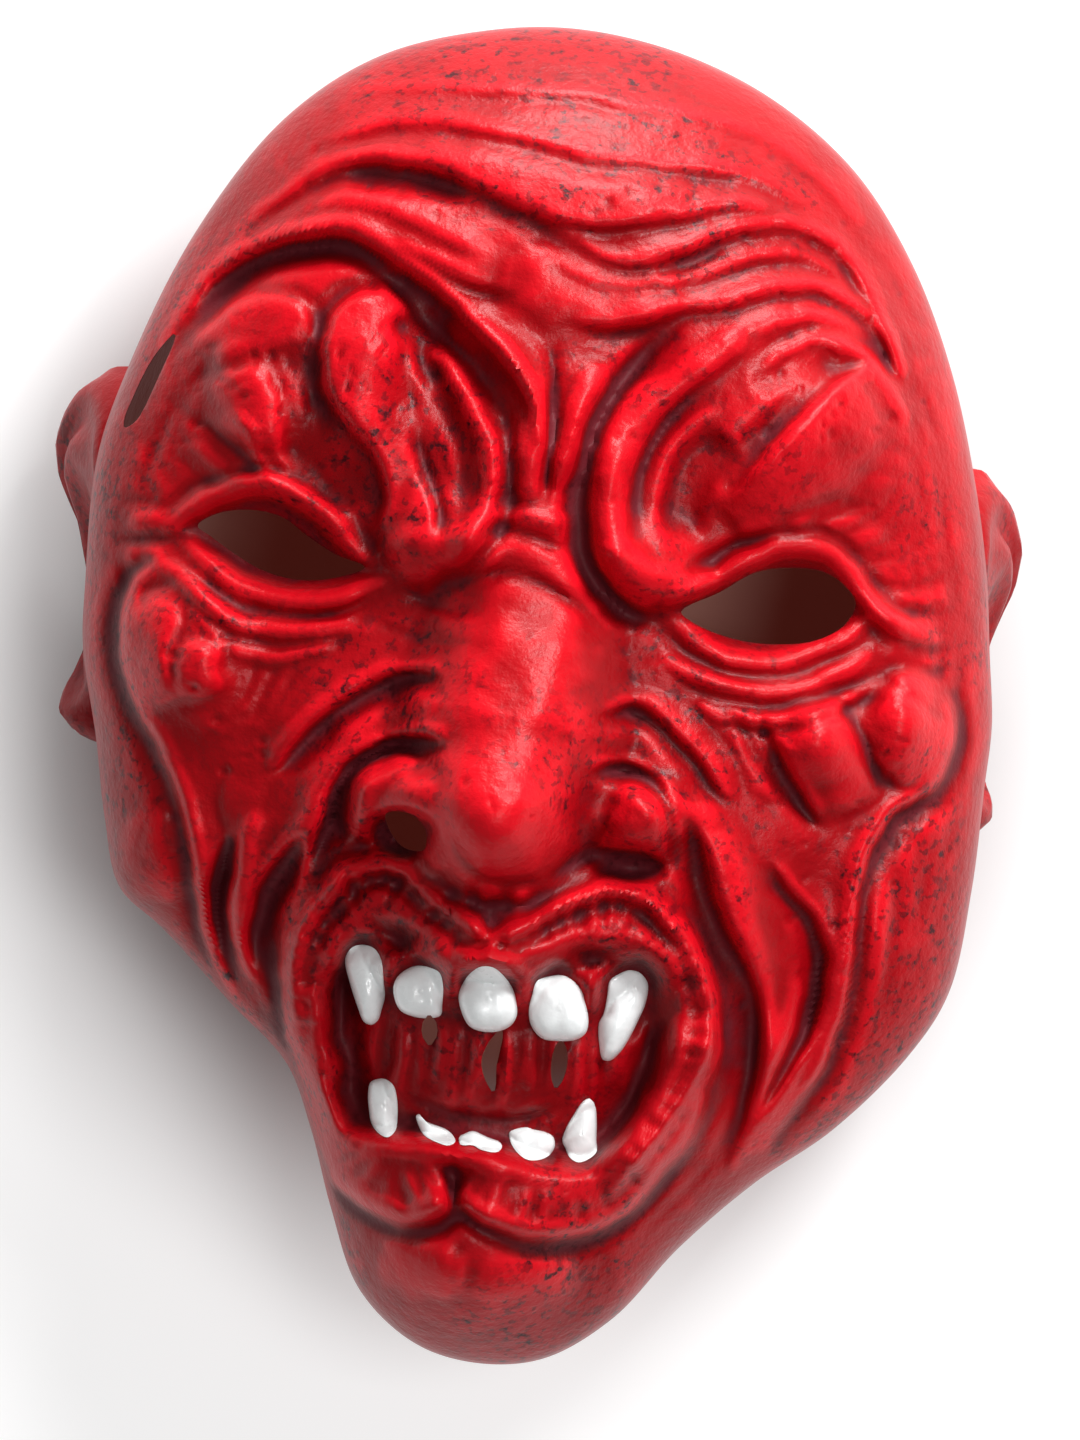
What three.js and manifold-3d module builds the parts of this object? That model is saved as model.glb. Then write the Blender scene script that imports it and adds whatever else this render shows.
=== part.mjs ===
// A hollow demon mask moulded in latex, lying on its back rim with the face up.
// Millimetres: +X to the viewer's right, +Y to the crown, +Z out of the face.
// The sculpture is drawn on a square grid, gridHeight lines from chin to crown. Every place and
// every height of the carving is a number of grid lines, so the face keeps its proportions when
// maskHeight changes. What is cut, cast or painted to a size of its own is in millimetres.
import * as THREE from 'three';
import { mergeVertices } from 'three/addons/utils/BufferGeometryUtils.js';
import Module from 'manifold-3d';

const wasm = await Module();
wasm.setup();

// Driving dimensions
const maskHeight = 267;
const sideDepth = 50;
const latex = 2.4;
const slitWidth = 2.6;
const earThickness = 7;
const toothStand = 4.5;

const gridHeight = 267;
const unit = maskHeight / gridHeight;

// Fineness of the faceting
const facesAcross = 34;
const facesUp = 48;
const sideRings = 2;
const edgeCrowding = 0.15;
const curveSteps = 5;
const smallestEdge = 0.03;
const steepest = 2.2;
const chisel = 2.2;
const outlineSteps = 12;
const slitSteps = 3;
const holeSteps = 2;
const toothSides = 7;
const toothRings = 5;
const earSides = 14;
const earRings = 2;

// Shape of the head: the rise of the face above its widest line, how round it is, and how far
// the side draws in from that line to the rim
const domeRise = 46 * unit;
const domePower = 2.35;
const rimDraw = 0.08;

// The carving dies away just inside the widest line: it is weakened by this power of the share
// of the way out. A stroke fades over endFade of its length at each end.
const carvingReach = 10;
const endFade = 0.15;

// The nose ridge is rounder than the folds: powers of the strokes' round section
const noseRoundness = 1.2;
const foldRoundness = 2;

// The widest line of the head seen from the front, anticlockwise from the right temple
const headOutline = [
  [91, 16], [89, 33], [85, 52], [79, 72], [70, 92], [57, 110], [40, 123], [21, 131], [0, 134.5],
  [-18, 133], [-40, 126], [-58, 112], [-74, 88], [-85, 61], [-90, 42], [-90.5, 16], [-90, 4],
  [-86, -14], [-83, -30], [-79, -43.5], [-70, -51], [-55, -65], [-43, -76], [-37, -89],
  [-32, -104], [-25, -120], [-13, -130], [0, -133], [13, -131], [26, -122], [38, -107],
  [52, -93], [67, -81], [81, -65], [88, -52], [91, -31], [92, -10], [92.5, 2],
];

// A mass is a soft mound or hollow: its middle, its two radii, its turn in degrees and its rise
const mass = (x, y, across, up, turn, rise) => ({
  x: x * unit,
  y: y * unit,
  across: across * unit,
  up: up * unit,
  cos: Math.cos(THREE.MathUtils.degToRad(turn)),
  sin: Math.sin(THREE.MathUtils.degToRad(turn)),
  rise: rise * unit,
});

const headMasses = [
  mass(-5, 100, 76, 44, 0, 9),
  mass(-2, 48, 30, 36, 0, 9),
  mass(-2, -66, 56, 52, 0, 13),
  mass(-5, -113, 28, 22, 0, 12),
];
const leftSideMasses = [
  mass(-50, 62, 36, 32, 0, 8),
  mass(-19, 31, 15, 13, 0, 6),
  mass(-52, 25, 27, 15, -12, -9),
  mass(-68, 4, 16, 25, 10, 7),
  mass(-62, -46, 20, 26, 0, -5),
];
const rightSideMasses = [
  mass(50, 62, 38, 32, 0, 9),
  mass(20, 29, 15, 12, 0, 7),
  mass(46, 21, 27, 15, 8, -9),
  mass(58, -4, 14, 12, 0, 6),
  mass(75, 0, 11, 13, 0, 6),
  mass(57, -52, 18, 34, 0, -5),
];
const noseMasses = [
  mass(-6, -21, 18, 17, 0, 7),
  mass(-27, -21, 12, 11, 0, 12),
  mass(23, -22, 13, 11, 0, 12),
  mass(-23, -28, 8, 6, 0, -11),
  mass(22, -31, 9, 5, 0, -7),
];

// A stroke follows a curve through its points; half width and rise may change from end to end
const stroke = (halfWidths, rises, points, fade = endFade) => {
  const curve = new THREE.CatmullRomCurve3(points.map(([x, y]) => new THREE.Vector3(x * unit, y * unit, 0)));
  const path = curve.getPoints(points.length * curveSteps);
  const wide = Math.max(...halfWidths) * unit;
  return {
    path,
    fade,
    box: new THREE.Box3().setFromPoints(path).expandByScalar(wide),
    halfWidths: halfWidths.map((w) => w * unit),
    rises: rises.map((h) => h * unit),
  };
};

// The nose is one round ridge from its root to its tip
const noseRidge = stroke([12, 15, 18, 16], [3, 12, 21, 23], [[0, 27], [-2, 10], [-4, -6], [-6, -19]], 0);

const foreheadFolds = [
  stroke([3.5], [-2], [[-37, 118], [-13, 120], [7, 119], [23, 117], [41, 113], [58, 98]]),
  stroke([4], [-2.5], [[-46, 109], [-25, 112], [-6, 110], [14, 108], [30, 107]]),
  stroke([5], [-4], [[-57, 95], [-45, 101], [-30, 103], [-15, 98], [-2, 94], [10, 94], [22, 97], [36, 100]]),
  stroke([5], [-4], [[-4, 92], [8, 88], [19, 89], [30, 94], [43, 97], [52, 97], [60, 90], [66, 78]]),
  stroke([6], [3], [[-71, 80], [-61, 90], [-51, 94], [-41, 95], [-27, 90], [-16, 87], [-5, 85], [10, 83]]),
  stroke([6], [-6], [[-71, 70], [-64, 81], [-54, 87], [-44, 88], [-36, 86], [-21, 76], [-10, 65], [-4, 55]]),
  stroke([5], [-4], [[19, 70], [26, 74], [34, 78], [43, 81], [52, 82], [61, 80], [68, 73], [73, 60]]),
];
const leftBrowFolds = [
  stroke([8], [6], [[-38, 74], [-38, 66], [-36, 57], [-31, 48], [-26, 38], [-22, 30]]),
  stroke([4.5], [-4], [[-27, 66], [-24, 56], [-20, 47], [-17, 37]]),
  stroke([6], [5], [[-22, 66], [-16, 58], [-12, 48], [-11, 38], [-14, 29]]),
  stroke([4], [-4], [[-20, 73], [-11, 60], [-7, 49], [-8, 38], [-12, 27]]),
  stroke([8], [4], [[-64, 62], [-62, 53], [-58, 45]]),
  stroke([5], [-4], [[-50, 68], [-49, 56], [-46, 46], [-38, 40]]),
];
const rightBrowFolds = [
  stroke([4], [3], [[-8, 68], [-4, 58], [-3, 44]]),
  stroke([3.5], [-4], [[-1, 70], [0, 60], [0, 40]]),
  stroke([5], [-5], [[15, 67], [8, 59], [6.5, 43], [7, 33], [12, 24]]),
  stroke([7], [6], [[36, 74], [28, 67], [19, 60], [13, 53], [11, 46], [12, 38], [16, 29]]),
  stroke([4], [-3], [[38, 69], [30, 62], [22, 54], [18, 46], [19, 37]]),
  stroke([10], [4], [[61, 72], [54, 67], [46, 57], [39, 47], [34, 40]]),
];
const eyelids = [
  stroke([4], [5], [[-71, 31], [-67, 35], [-61, 38], [-54, 38.5], [-47, 36], [-41, 31], [-35, 25]]),
  stroke([4], [4], [[-69, 26], [-64, 21], [-56, 17], [-48, 15.5], [-39, 17], [-31, 21]]),
  stroke([3.5], [-3], [[-67, 18], [-60, 12], [-50, 9], [-38, 12]]),
  stroke([4], [5], [[31, 22], [41, 30], [48, 33], [55, 33.5], [60, 30], [65, 25], [77, 18]]),
  stroke([4], [4], [[26, 17.5], [31, 14.5], [37, 12], [46, 11], [55, 12.5], [63, 17]]),
  stroke([3.5], [-3], [[31, 9], [42, 6], [52, 5], [62, 9], [70, 15]]),
];
const cheekFolds = [
  stroke([5], [-5], [[-17, 3], [-27, 2], [-35, -2], [-43, -8]]),
  stroke([5], [-7], [[-22, -10], [-30, -10], [-37, -15], [-41, -24], [-47, -38], [-49, -50], [-45, -68]]),
  stroke([5], [-6], [[-56, -30], [-59, -40], [-58, -50], [-52, -62], [-45, -75]]),
  stroke([5], [4], [[-53, -36], [-54, -48], [-50, -60], [-44, -73]]),
  stroke([4.5], [-5], [[13, -1], [22, 1], [28, -4], [35, -10], [40, -16]]),
  stroke([5.5], [-7], [[14, -13], [20, -10], [28, -14], [33, -24], [38, -38], [46, -50], [49, -62], [46, -76]]),
  stroke([8], [4], [[40, -16], [46, -30], [54, -44], [56, -60], [50, -78]]),
  stroke([6], [4], [[81, -6], [73, -15], [68, -25], [68, -40], [67, -54], [61, -72], [53, -88]]),
];
const lips = [
  stroke([6], [6], [[-40, -72], [-42, -56], [-38, -43], [-30, -37], [-21, -39], [-12, -45], [-3, -48],
    [6, -43], [16, -38.5], [26, -40], [34, -47], [38, -58], [38, -72]], 0.05),
  stroke([9], [7], [[-38, -76], [-34, -88], [-26, -97], [-16, -99], [-10, -95]]),
  stroke([7], [6], [[-7, -96], [0, -99], [10, -100], [20, -96], [28, -88], [35, -76], [38, -62]]),
  stroke([5], [-5], [[-26, -107], [-14, -108], [-4, -104], [4, -108], [14, -108], [24, -103]]),
];
const carving = [
  ...foreheadFolds, ...leftBrowFolds, ...rightBrowFolds, ...eyelids, ...cheekFolds, ...lips,
];

// The mouth is a floor sunk between the lips
const mouthDepth = 11 * unit;
const mouthSlope = 5 * unit;
const mouthEdge = [
  [-37, -52], [-34, -46], [-28, -44], [-20, -45], [-12, -50], [-3, -52], [6, -48], [17, -45], [27, -46],
  [33, -52], [35, -64], [32, -78], [27, -87], [21, -93], [10, -94], [0, -91], [-9, -90], [-23, -91],
  [-31, -88], [-36, -76], [-38, -64],
];

// Teeth: middle, half width, half length and turn in degrees
const teeth = [
  { x: -29, y: -59, across: 3.6, up: 8.2, turn: 10 },
  { x: -19, y: -59, across: 5, up: 5.2, turn: -4 },
  { x: -5.5, y: -60, across: 5.8, up: 6.4, turn: -2 },
  { x: 8.5, y: -61, across: 5.8, up: 6.4, turn: 2 },
  { x: 20.5, y: -61, across: 3.8, up: 9, turn: -16 },
  { x: -23.5, y: -84, across: 2.9, up: 5.6, turn: 4 },
  { x: -13, y: -87.5, across: 4.2, up: 1.9, turn: -36 },
  { x: -4, y: -89.5, across: 4.2, up: 1.7, turn: -14 },
  { x: 6.5, y: -89, across: 4.4, up: 3, turn: -6 },
  { x: 17.5, y: -86.5, across: 3.2, up: 6, turn: -14 },
];

// Holes cut through the latex: the two eyes, one nostril, and the slits between the teeth
const leftEye = [
  [-68.3, 29.2], [-64.5, 32], [-57.5, 33.2], [-51, 32], [-46, 29.2], [-40.5, 26], [-34.5, 23.6],
  [-42, 20.5], [-49, 20.2], [-55.5, 21.6], [-60.5, 24.2],
];
const rightEye = [
  [28.4, 19.8], [36, 24.4], [42.5, 28.5], [49.5, 30], [56.3, 29.6], [60.7, 27], [62.9, 23.6],
  [60.5, 19.2], [55.3, 16.2], [49, 14.8], [42.4, 14.7], [35.3, 16.2],
];
const nostril = [[-26.5, -24.5], [-22, -24], [-18.5, -27], [-18.5, -31], [-22.5, -31], [-25.5, -28]];
const mouthSlits = [
  [[-15, -63.5], [-14.5, -70]],
  [[-0.5, -66], [-2.5, -70], [-2.5, -75], [-0.5, -78.5]],
  [[10.5, -67.5], [10.5, -77]],
];
const ventSlit = [[-76, 67], [-79.5, 60], [-83, 51], [-84.2, 48.5]];

// Ears: the upper end, the lobe, how far each stands out from the head, and their seat in depth
const ears = [
  { side: -1, top: 61, widest: 46, lobe: -15, head: 86, out: 15.5, lobeOut: 10.5 },
  { side: 1, top: 53, widest: 40, lobe: -22, head: 87, out: 11.5, lobeOut: 9.5 },
];
const earSeat = { front: 40, back: 6 };

// An ear narrows by earPinch towards its lobe, is hollowed on the outside by earCup of half its
// thickness within earBowl of its half size, and its back edge leans out from half its flare
const earPinch = 0.3;
const earCup = 0.35;
const earBowl = { from: 0.3, to: 0.8 };
const earLean = 0.5;

// Half width of a slit at its very ends, as a share of its half width in the middle
const slitEnd = 0.2;

// Radius of the head's widest line in each direction from the middle of the face
const outlineCurve = new THREE.CatmullRomCurve3(
  headOutline.map(([x, y]) => new THREE.Vector3(x * unit, y * unit, 0)), true);
const outlineSamples = outlineCurve.getPoints(headOutline.length * outlineSteps)
  .map((p) => ({ angle: Math.atan2(p.y, p.x), radius: Math.hypot(p.x, p.y) }))
  .sort((a, b) => a.angle - b.angle);

function headRadius(angle) {
  const turn = 2 * Math.PI;
  const wrapped = THREE.MathUtils.euclideanModulo(angle + Math.PI, turn) - Math.PI;
  const next = outlineSamples.findIndex((s) => s.angle >= wrapped);
  const after = outlineSamples[Math.max(next, 0)];
  const before = outlineSamples[next > 0 ? next - 1 : outlineSamples.length - 1];
  const span = THREE.MathUtils.euclideanModulo(after.angle - before.angle, turn);
  const part = THREE.MathUtils.euclideanModulo(wrapped - before.angle, turn);
  return THREE.MathUtils.lerp(before.radius, after.radius, span > 0 ? part / span : 0);
}

// A mound's height: (1 - q^2)^2 of the distance q from its middle, in radii
function massHeight(m, x, y) {
  const dx = x - m.x;
  const dy = y - m.y;
  const u = (dx * m.cos + dy * m.sin) / m.across;
  const v = (dy * m.cos - dx * m.sin) / m.up;
  const q = u * u + v * v;
  return q < 1 ? m.rise * (1 - q) * (1 - q) : 0;
}

// The value of a list that is spread evenly along a stroke, at share t of its length
function spread(list, t) {
  const place = t * (list.length - 1);
  const low = Math.min(Math.floor(place), list.length - 1);
  const high = Math.min(low + 1, list.length - 1);
  return THREE.MathUtils.lerp(list[low], list[high], place - low);
}

// Nearest point of a line of points: its distance and its share of the way along
function nearest(path, x, y) {
  let best = Infinity;
  let share = 0;
  for (let i = 0; i + 1 < path.length; i += 1) {
    const dx = path[i + 1].x - path[i].x;
    const dy = path[i + 1].y - path[i].y;
    const raw = ((x - path[i].x) * dx + (y - path[i].y) * dy) / (dx * dx + dy * dy);
    const part = THREE.MathUtils.clamp(raw, 0, 1);
    const away = Math.hypot(path[i].x + part * dx - x, path[i].y + part * dy - y);
    if (away < best) {
      best = away;
      share = (i + part) / (path.length - 1);
    }
  }
  return { away: best, share };
}

function strokeHeight(s, x, y, roundness) {
  if (x < s.box.min.x || x > s.box.max.x || y < s.box.min.y || y > s.box.max.y) {
    return 0;
  }
  const { away, share } = nearest(s.path, x, y);
  const q = away / spread(s.halfWidths, share);
  if (q >= 1) {
    return 0;
  }
  const ends = s.fade > 0 ? Math.min(1, share / s.fade, (1 - share) / s.fade) : 1;
  return spread(s.rises, share) * Math.sqrt(ends) * (1 - q * q) ** roundness;
}

const mouthCurve = new THREE.CatmullRomCurve3(
  mouthEdge.map(([x, y]) => new THREE.Vector3(x * unit, y * unit, 0)), true);
const mouthLoop = mouthCurve.getPoints(mouthEdge.length * curveSteps);

function insideLoop(loop, x, y) {
  let inside = false;
  for (let i = 0; i + 1 < loop.length; i += 1) {
    const a = loop[i];
    const b = loop[i + 1];
    if ((a.y > y) !== (b.y > y) && x < a.x + ((y - a.y) / (b.y - a.y)) * (b.x - a.x)) {
      inside = !inside;
    }
  }
  return inside;
}

function mouthHeight(x, y) {
  if (!insideLoop(mouthLoop, x, y)) {
    return 0;
  }
  return -mouthDepth * THREE.MathUtils.smoothstep(nearest(mouthLoop, x, y).away, 0, mouthSlope);
}

const masses = [...headMasses, ...leftSideMasses, ...rightSideMasses, ...noseMasses];

// Height of a point over the floor: the dome, the masses, the nose, the mouth and the carving
function sharpHeight(x, y) {
  const share = Math.min(1, Math.hypot(x, y) / headRadius(Math.atan2(y, x)));
  const dome = sideDepth + domeRise * Math.sqrt(1 - share ** domePower);
  const mounds = masses.reduce((sum, m) => sum + massHeight(m, x, y), 0);
  const nose = strokeHeight(noseRidge, x, y, noseRoundness);
  const edgeFade = 1 - share ** carvingReach;
  const folds = carving.reduce((sum, s) => sum + strokeHeight(s, x, y, foldRoundness), 0);
  return dome + mounds + nose + mouthHeight(x, y) + folds * edgeFade;
}

// Height of the face as a broad chisel leaves it: the mean over the chisel's width
function faceHeight(x, y) {
  const sides = [[1, 0], [0, 1], [-1, 0], [0, -1], [0.7, 0.7], [-0.7, 0.7], [-0.7, -0.7], [0.7, -0.7]];
  const ring = sides.reduce((sum, [a, b]) => sum + sharpHeight(x + a * chisel, y + b * chisel), 0);
  return (ring + 2 * sharpHeight(x, y)) / (sides.length + 2);
}

// Height of the inside under the same place: the latex is measured square to the slope
function insideHeight(x, y) {
  const reach = latex / 2;
  const across = (faceHeight(x + reach, y) - faceHeight(x - reach, y)) / latex;
  const up = (faceHeight(x, y + reach) - faceHeight(x, y - reach)) / latex;
  const slope = Math.min(Math.hypot(1, across, up), steepest);
  return faceHeight(x, y) - latex * slope;
}

// Where a corner of the square grid falls on the head: share of the way out, and direction
function gridPlace(column, row) {
  const a = (2 * column) / facesAcross - 1;
  const b = (2 * row) / facesUp - 1;
  const reach = Math.max(Math.abs(a), Math.abs(b));
  let angle = 0;
  if (reach > 0) {
    const eighth = Math.PI / 4;
    const across = Math.abs(a) >= Math.abs(b);
    angle = across ? eighth * (b / a) + (a < 0 ? Math.PI : 0) : eighth * (2 - a / b) + (b < 0 ? Math.PI : 0);
  }
  const out = (1 - edgeCrowding) * reach + edgeCrowding * Math.sin((reach * Math.PI) / 2);
  return { out, angle };
}

// Numbers of the grid's corners once round its border, anticlockwise
function borderLoop() {
  const wide = facesAcross + 1;
  const loop = [];
  for (let i = 0; i < facesAcross; i += 1) {
    loop.push(i);
  }
  for (let j = 0; j < facesUp; j += 1) {
    loop.push(j * wide + facesAcross);
  }
  for (let i = facesAcross; i > 0; i -= 1) {
    loop.push(facesUp * wide + i);
  }
  for (let j = facesUp; j > 0; j -= 1) {
    loop.push(j * wide);
  }
  return loop;
}

// A skin of the mask, closed by a flat floor: the face as a grid, then rings down the side
function skin(inset, height, floor) {
  const points = [];
  const faces = [];
  const angles = [];
  for (let j = 0; j <= facesUp; j += 1) {
    for (let i = 0; i <= facesAcross; i += 1) {
      const { out, angle } = gridPlace(i, j);
      const full = out * headRadius(angle);
      const radius = out * (headRadius(angle) - inset);
      const z = height(full * Math.cos(angle), full * Math.sin(angle));
      points.push([radius * Math.cos(angle), radius * Math.sin(angle), z]);
      angles.push(angle);
    }
  }
  const wide = facesAcross + 1;
  for (let j = 0; j < facesUp; j += 1) {
    for (let i = 0; i < facesAcross; i += 1) {
      const a = j * wide + i;
      const rising = Math.abs(points[a][2] - points[a + wide + 1][2]);
      const falling = Math.abs(points[a + 1][2] - points[a + wide][2]);
      if (rising < falling) {
        faces.push([a, a + 1, a + wide + 1], [a, a + wide + 1, a + wide]);
      } else {
        faces.push([a, a + 1, a + wide], [a + 1, a + wide + 1, a + wide]);
      }
    }
  }
  const top = borderLoop();
  let ring = top;
  for (let k = 1; k <= sideRings; k += 1) {
    const share = k / sideRings;
    const lower = top.map((corner) => {
      const radius = (headRadius(angles[corner]) - inset) * (1 - rimDraw * share * share);
      const z = THREE.MathUtils.lerp(points[corner][2], floor, share);
      return points.push([radius * Math.cos(angles[corner]), radius * Math.sin(angles[corner]), z]) - 1;
    });
    ring.forEach((corner, i) => {
      const next = (i + 1) % ring.length;
      faces.push([corner, lower[i], lower[next]], [corner, lower[next], ring[next]]);
    });
    ring = lower;
  }
  const middle = points.push([0, 0, floor]) - 1;
  ring.forEach((corner, i) => faces.push([corner, middle, ring[(i + 1) % ring.length]]));
  return toSolid(fromFaces(points, faces));
}

function toSolid(geometry) {
  const bare = geometry.clone();
  bare.deleteAttribute('normal');
  bare.deleteAttribute('uv');
  const merged = mergeVertices(bare);
  const mesh = new wasm.Mesh({
    numProp: 3,
    vertProperties: Float32Array.from(merged.attributes.position.array),
    triVerts: Uint32Array.from(merged.index.array),
    tolerance: smallestEdge,
  });
  return new wasm.Manifold(mesh);
}

function toGeometry(solid) {
  const mesh = solid.getMesh();
  const geometry = new THREE.BufferGeometry();
  geometry.setAttribute('position', new THREE.BufferAttribute(Float32Array.from(mesh.vertProperties), 3));
  geometry.setIndex(new THREE.BufferAttribute(Uint32Array.from(mesh.triVerts), 1));
  geometry.computeVertexNormals();
  return geometry;
}

function fromFaces(points, faces) {
  const geometry = new THREE.BufferGeometry();
  geometry.setAttribute('position', new THREE.Float32BufferAttribute(points.flat(), 3));
  geometry.setIndex(faces.flat());
  return geometry;
}

// A straight cutter with the given outline, from low to high
function cutter(outline, low, high) {
  const shape = new THREE.Shape(outline.map(([x, y]) => new THREE.Vector2(x, y)));
  const geometry = new THREE.ExtrudeGeometry(shape, { depth: high - low, bevelEnabled: false });
  return toSolid(geometry.translate(0, 0, low));
}

// The outline of a slit: a closed line half a slit to either side of its middle line, pointed ends
function slitOutline(points, width) {
  const curve = new THREE.CatmullRomCurve3(points.map(([x, y]) => new THREE.Vector3(x * unit, y * unit, 0)));
  const steps = points.length * slitSteps;
  const sides = [[], []];
  for (let i = 0; i <= steps; i += 1) {
    const share = i / steps;
    const p = curve.getPoint(share);
    const along = curve.getTangent(share);
    const half = (width / 2) * Math.max(slitEnd, Math.sqrt(Math.sin(share * Math.PI)));
    sides[0].push([p.x - along.y * half, p.y + along.x * half]);
    sides[1].unshift([p.x + along.y * half, p.y - along.x * half]);
  }
  return [...sides[0], ...sides[1]];
}

function smoothOutline(points) {
  const curve = new THREE.CatmullRomCurve3(points.map(([x, y]) => new THREE.Vector3(x * unit, y * unit, 0)), true);
  return curve.getPoints(points.length * holeSteps).slice(0, -1).map((p) => [p.x, p.y]);
}

// A tooth is an egg standing on the mouth's floor, sunk so that toothStand of it shows
function tooth({ x, y, across, up, turn }) {
  const egg = new THREE.SphereGeometry(1, toothSides, toothRings);
  const foot = faceHeight(x * unit, y * unit);
  egg.scale(across * unit, up * unit, toothStand);
  egg.rotateZ(THREE.MathUtils.degToRad(turn));
  egg.translate(x * unit, y * unit, foot);
  return toSolid(egg);
}

// An ear is a cupped blade: seated on the side of the head in front, free at the back
function ear({ side, top, widest, lobe, head, out, lobeOut }) {
  const around = earSides;
  const steps = earRings;
  const points = [];
  const faces = [];
  const middle = (top + lobe) / 2;
  const halfLength = (top - lobe) / 2;
  const halfDepth = (earSeat.front - earSeat.back) / 2;
  const depthMiddle = (earSeat.front + earSeat.back) / 2;
  const place = (share, angle, face) => {
    const y = middle + halfLength * share * Math.sin(angle);
    const back = share * Math.cos(angle);
    const pinch = 1 - earPinch * THREE.MathUtils.smoothstep(widest - y, 0, halfLength * 1.5);
    const z = depthMiddle - halfDepth * back * pinch;
    const flare = THREE.MathUtils.lerp(lobeOut, out, THREE.MathUtils.smoothstep(y, lobe, widest));
    const lean = flare * (earLean + (1 - earLean) * back);
    const cup = earCup * (1 - THREE.MathUtils.smoothstep(share, earBowl.from, earBowl.to));
    const thick = (earThickness / 2) * (Math.sqrt(1 - share ** 4) - (face > 0 ? cup : -cup));
    return [side * (head * unit + lean * unit + face * thick - earThickness / 2), y * unit, z * unit];
  };
  for (const face of [1, -1]) {
    const base = points.length;
    points.push(place(0, 0, face));
    for (let k = 1; k <= steps; k += 1) {
      for (let i = 0; i < around; i += 1) {
        points.push(place(k / steps, (2 * Math.PI * i) / around, face));
      }
    }
    const corner = (k, i) => base + 1 + (k - 1) * around + (i % around);
    const add = (a, b, c) => faces.push(face * side > 0 ? [a, c, b] : [a, b, c]);
    for (let i = 0; i < around; i += 1) {
      add(base, corner(1, i + 1), corner(1, i));
      for (let k = 1; k < steps; k += 1) {
        add(corner(k, i), corner(k, i + 1), corner(k + 1, i + 1));
        add(corner(k, i), corner(k + 1, i + 1), corner(k + 1, i));
      }
    }
  }
  return toSolid(fromFaces(points, faces));
}

// The casting: the whole head with its ears and teeth, less the hollow and the holes
function buildMask() {
  let mask = skin(0, faceHeight, 0);
  for (const one of ears) {
    mask = mask.add(ear(one));
  }
  for (const one of teeth) {
    mask = mask.add(tooth(one));
  }
  mask = mask.subtract(skin(latex, insideHeight, -latex));
  const overTop = sideDepth + domeRise * 2 + mouthDepth;
  const underFace = sideDepth + latex;
  for (const outline of [leftEye, rightEye, nostril]) {
    mask = mask.subtract(cutter(smoothOutline(outline), underFace, overTop));
  }
  for (const line of mouthSlits) {
    mask = mask.subtract(cutter(slitOutline(line, slitWidth), underFace, overTop));
  }
  return mask.subtract(cutter(slitOutline(ventSlit, slitWidth), sideDepth, overTop));
}

const redLatex = new THREE.MeshStandardMaterial({ color: 0xc4111b, roughness: 0.35, metalness: 0 });

// The origin is on the floor under the middle of the whole piece, ears included
const casting = toGeometry(buildMask());
casting.computeBoundingBox();
const middle = casting.boundingBox.getCenter(new THREE.Vector3());
casting.translate(-middle.x, -middle.y, 0);

const model = new THREE.Group();
const mask = new THREE.Mesh(casting, redLatex);
mask.name = 'mask';
model.add(mask);

export default model;
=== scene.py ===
"""A red latex demon mask lying on its open back rim, seen from straight above.

The sculpture is drawn in millimetres from the middle of the face: +x to the viewer's right, +y to
the crown, +z out of the face. Broad masses, folds and creases are stamped on a raster of heights;
the casting's skin is a grid that takes its height from a dome and that raster.
"""

import logging
import math
from dataclasses import dataclass
from enum import Enum
from typing import Callable, Sequence

import bpy
import numpy as np
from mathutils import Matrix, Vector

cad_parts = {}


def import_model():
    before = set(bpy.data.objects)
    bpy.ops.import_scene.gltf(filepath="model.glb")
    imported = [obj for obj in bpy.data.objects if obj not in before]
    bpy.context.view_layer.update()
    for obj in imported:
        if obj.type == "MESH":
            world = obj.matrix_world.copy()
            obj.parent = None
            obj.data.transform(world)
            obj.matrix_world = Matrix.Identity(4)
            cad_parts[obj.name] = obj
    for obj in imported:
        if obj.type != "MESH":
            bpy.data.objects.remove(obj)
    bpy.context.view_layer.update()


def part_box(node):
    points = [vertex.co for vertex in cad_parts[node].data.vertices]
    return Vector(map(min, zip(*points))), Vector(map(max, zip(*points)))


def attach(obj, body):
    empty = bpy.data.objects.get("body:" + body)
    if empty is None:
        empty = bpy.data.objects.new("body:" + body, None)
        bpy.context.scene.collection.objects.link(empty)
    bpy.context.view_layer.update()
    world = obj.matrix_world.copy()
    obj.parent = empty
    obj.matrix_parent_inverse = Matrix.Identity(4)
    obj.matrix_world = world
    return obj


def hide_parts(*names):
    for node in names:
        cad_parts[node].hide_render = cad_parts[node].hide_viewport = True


MM = 0.001
DRAWING_CENTRE = (-1.371, 0.75)
PICTURE_CENTRE = (2.3, -3.8)
SWAY_REACH = 1.2
FOLD_DROP = 0.28
BLACK = (0, 0, 0, 1)
WHITE = (1, 1, 1, 1)
LOG = logging.getLogger("demon_mask")

Point = tuple[float, float]


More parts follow.
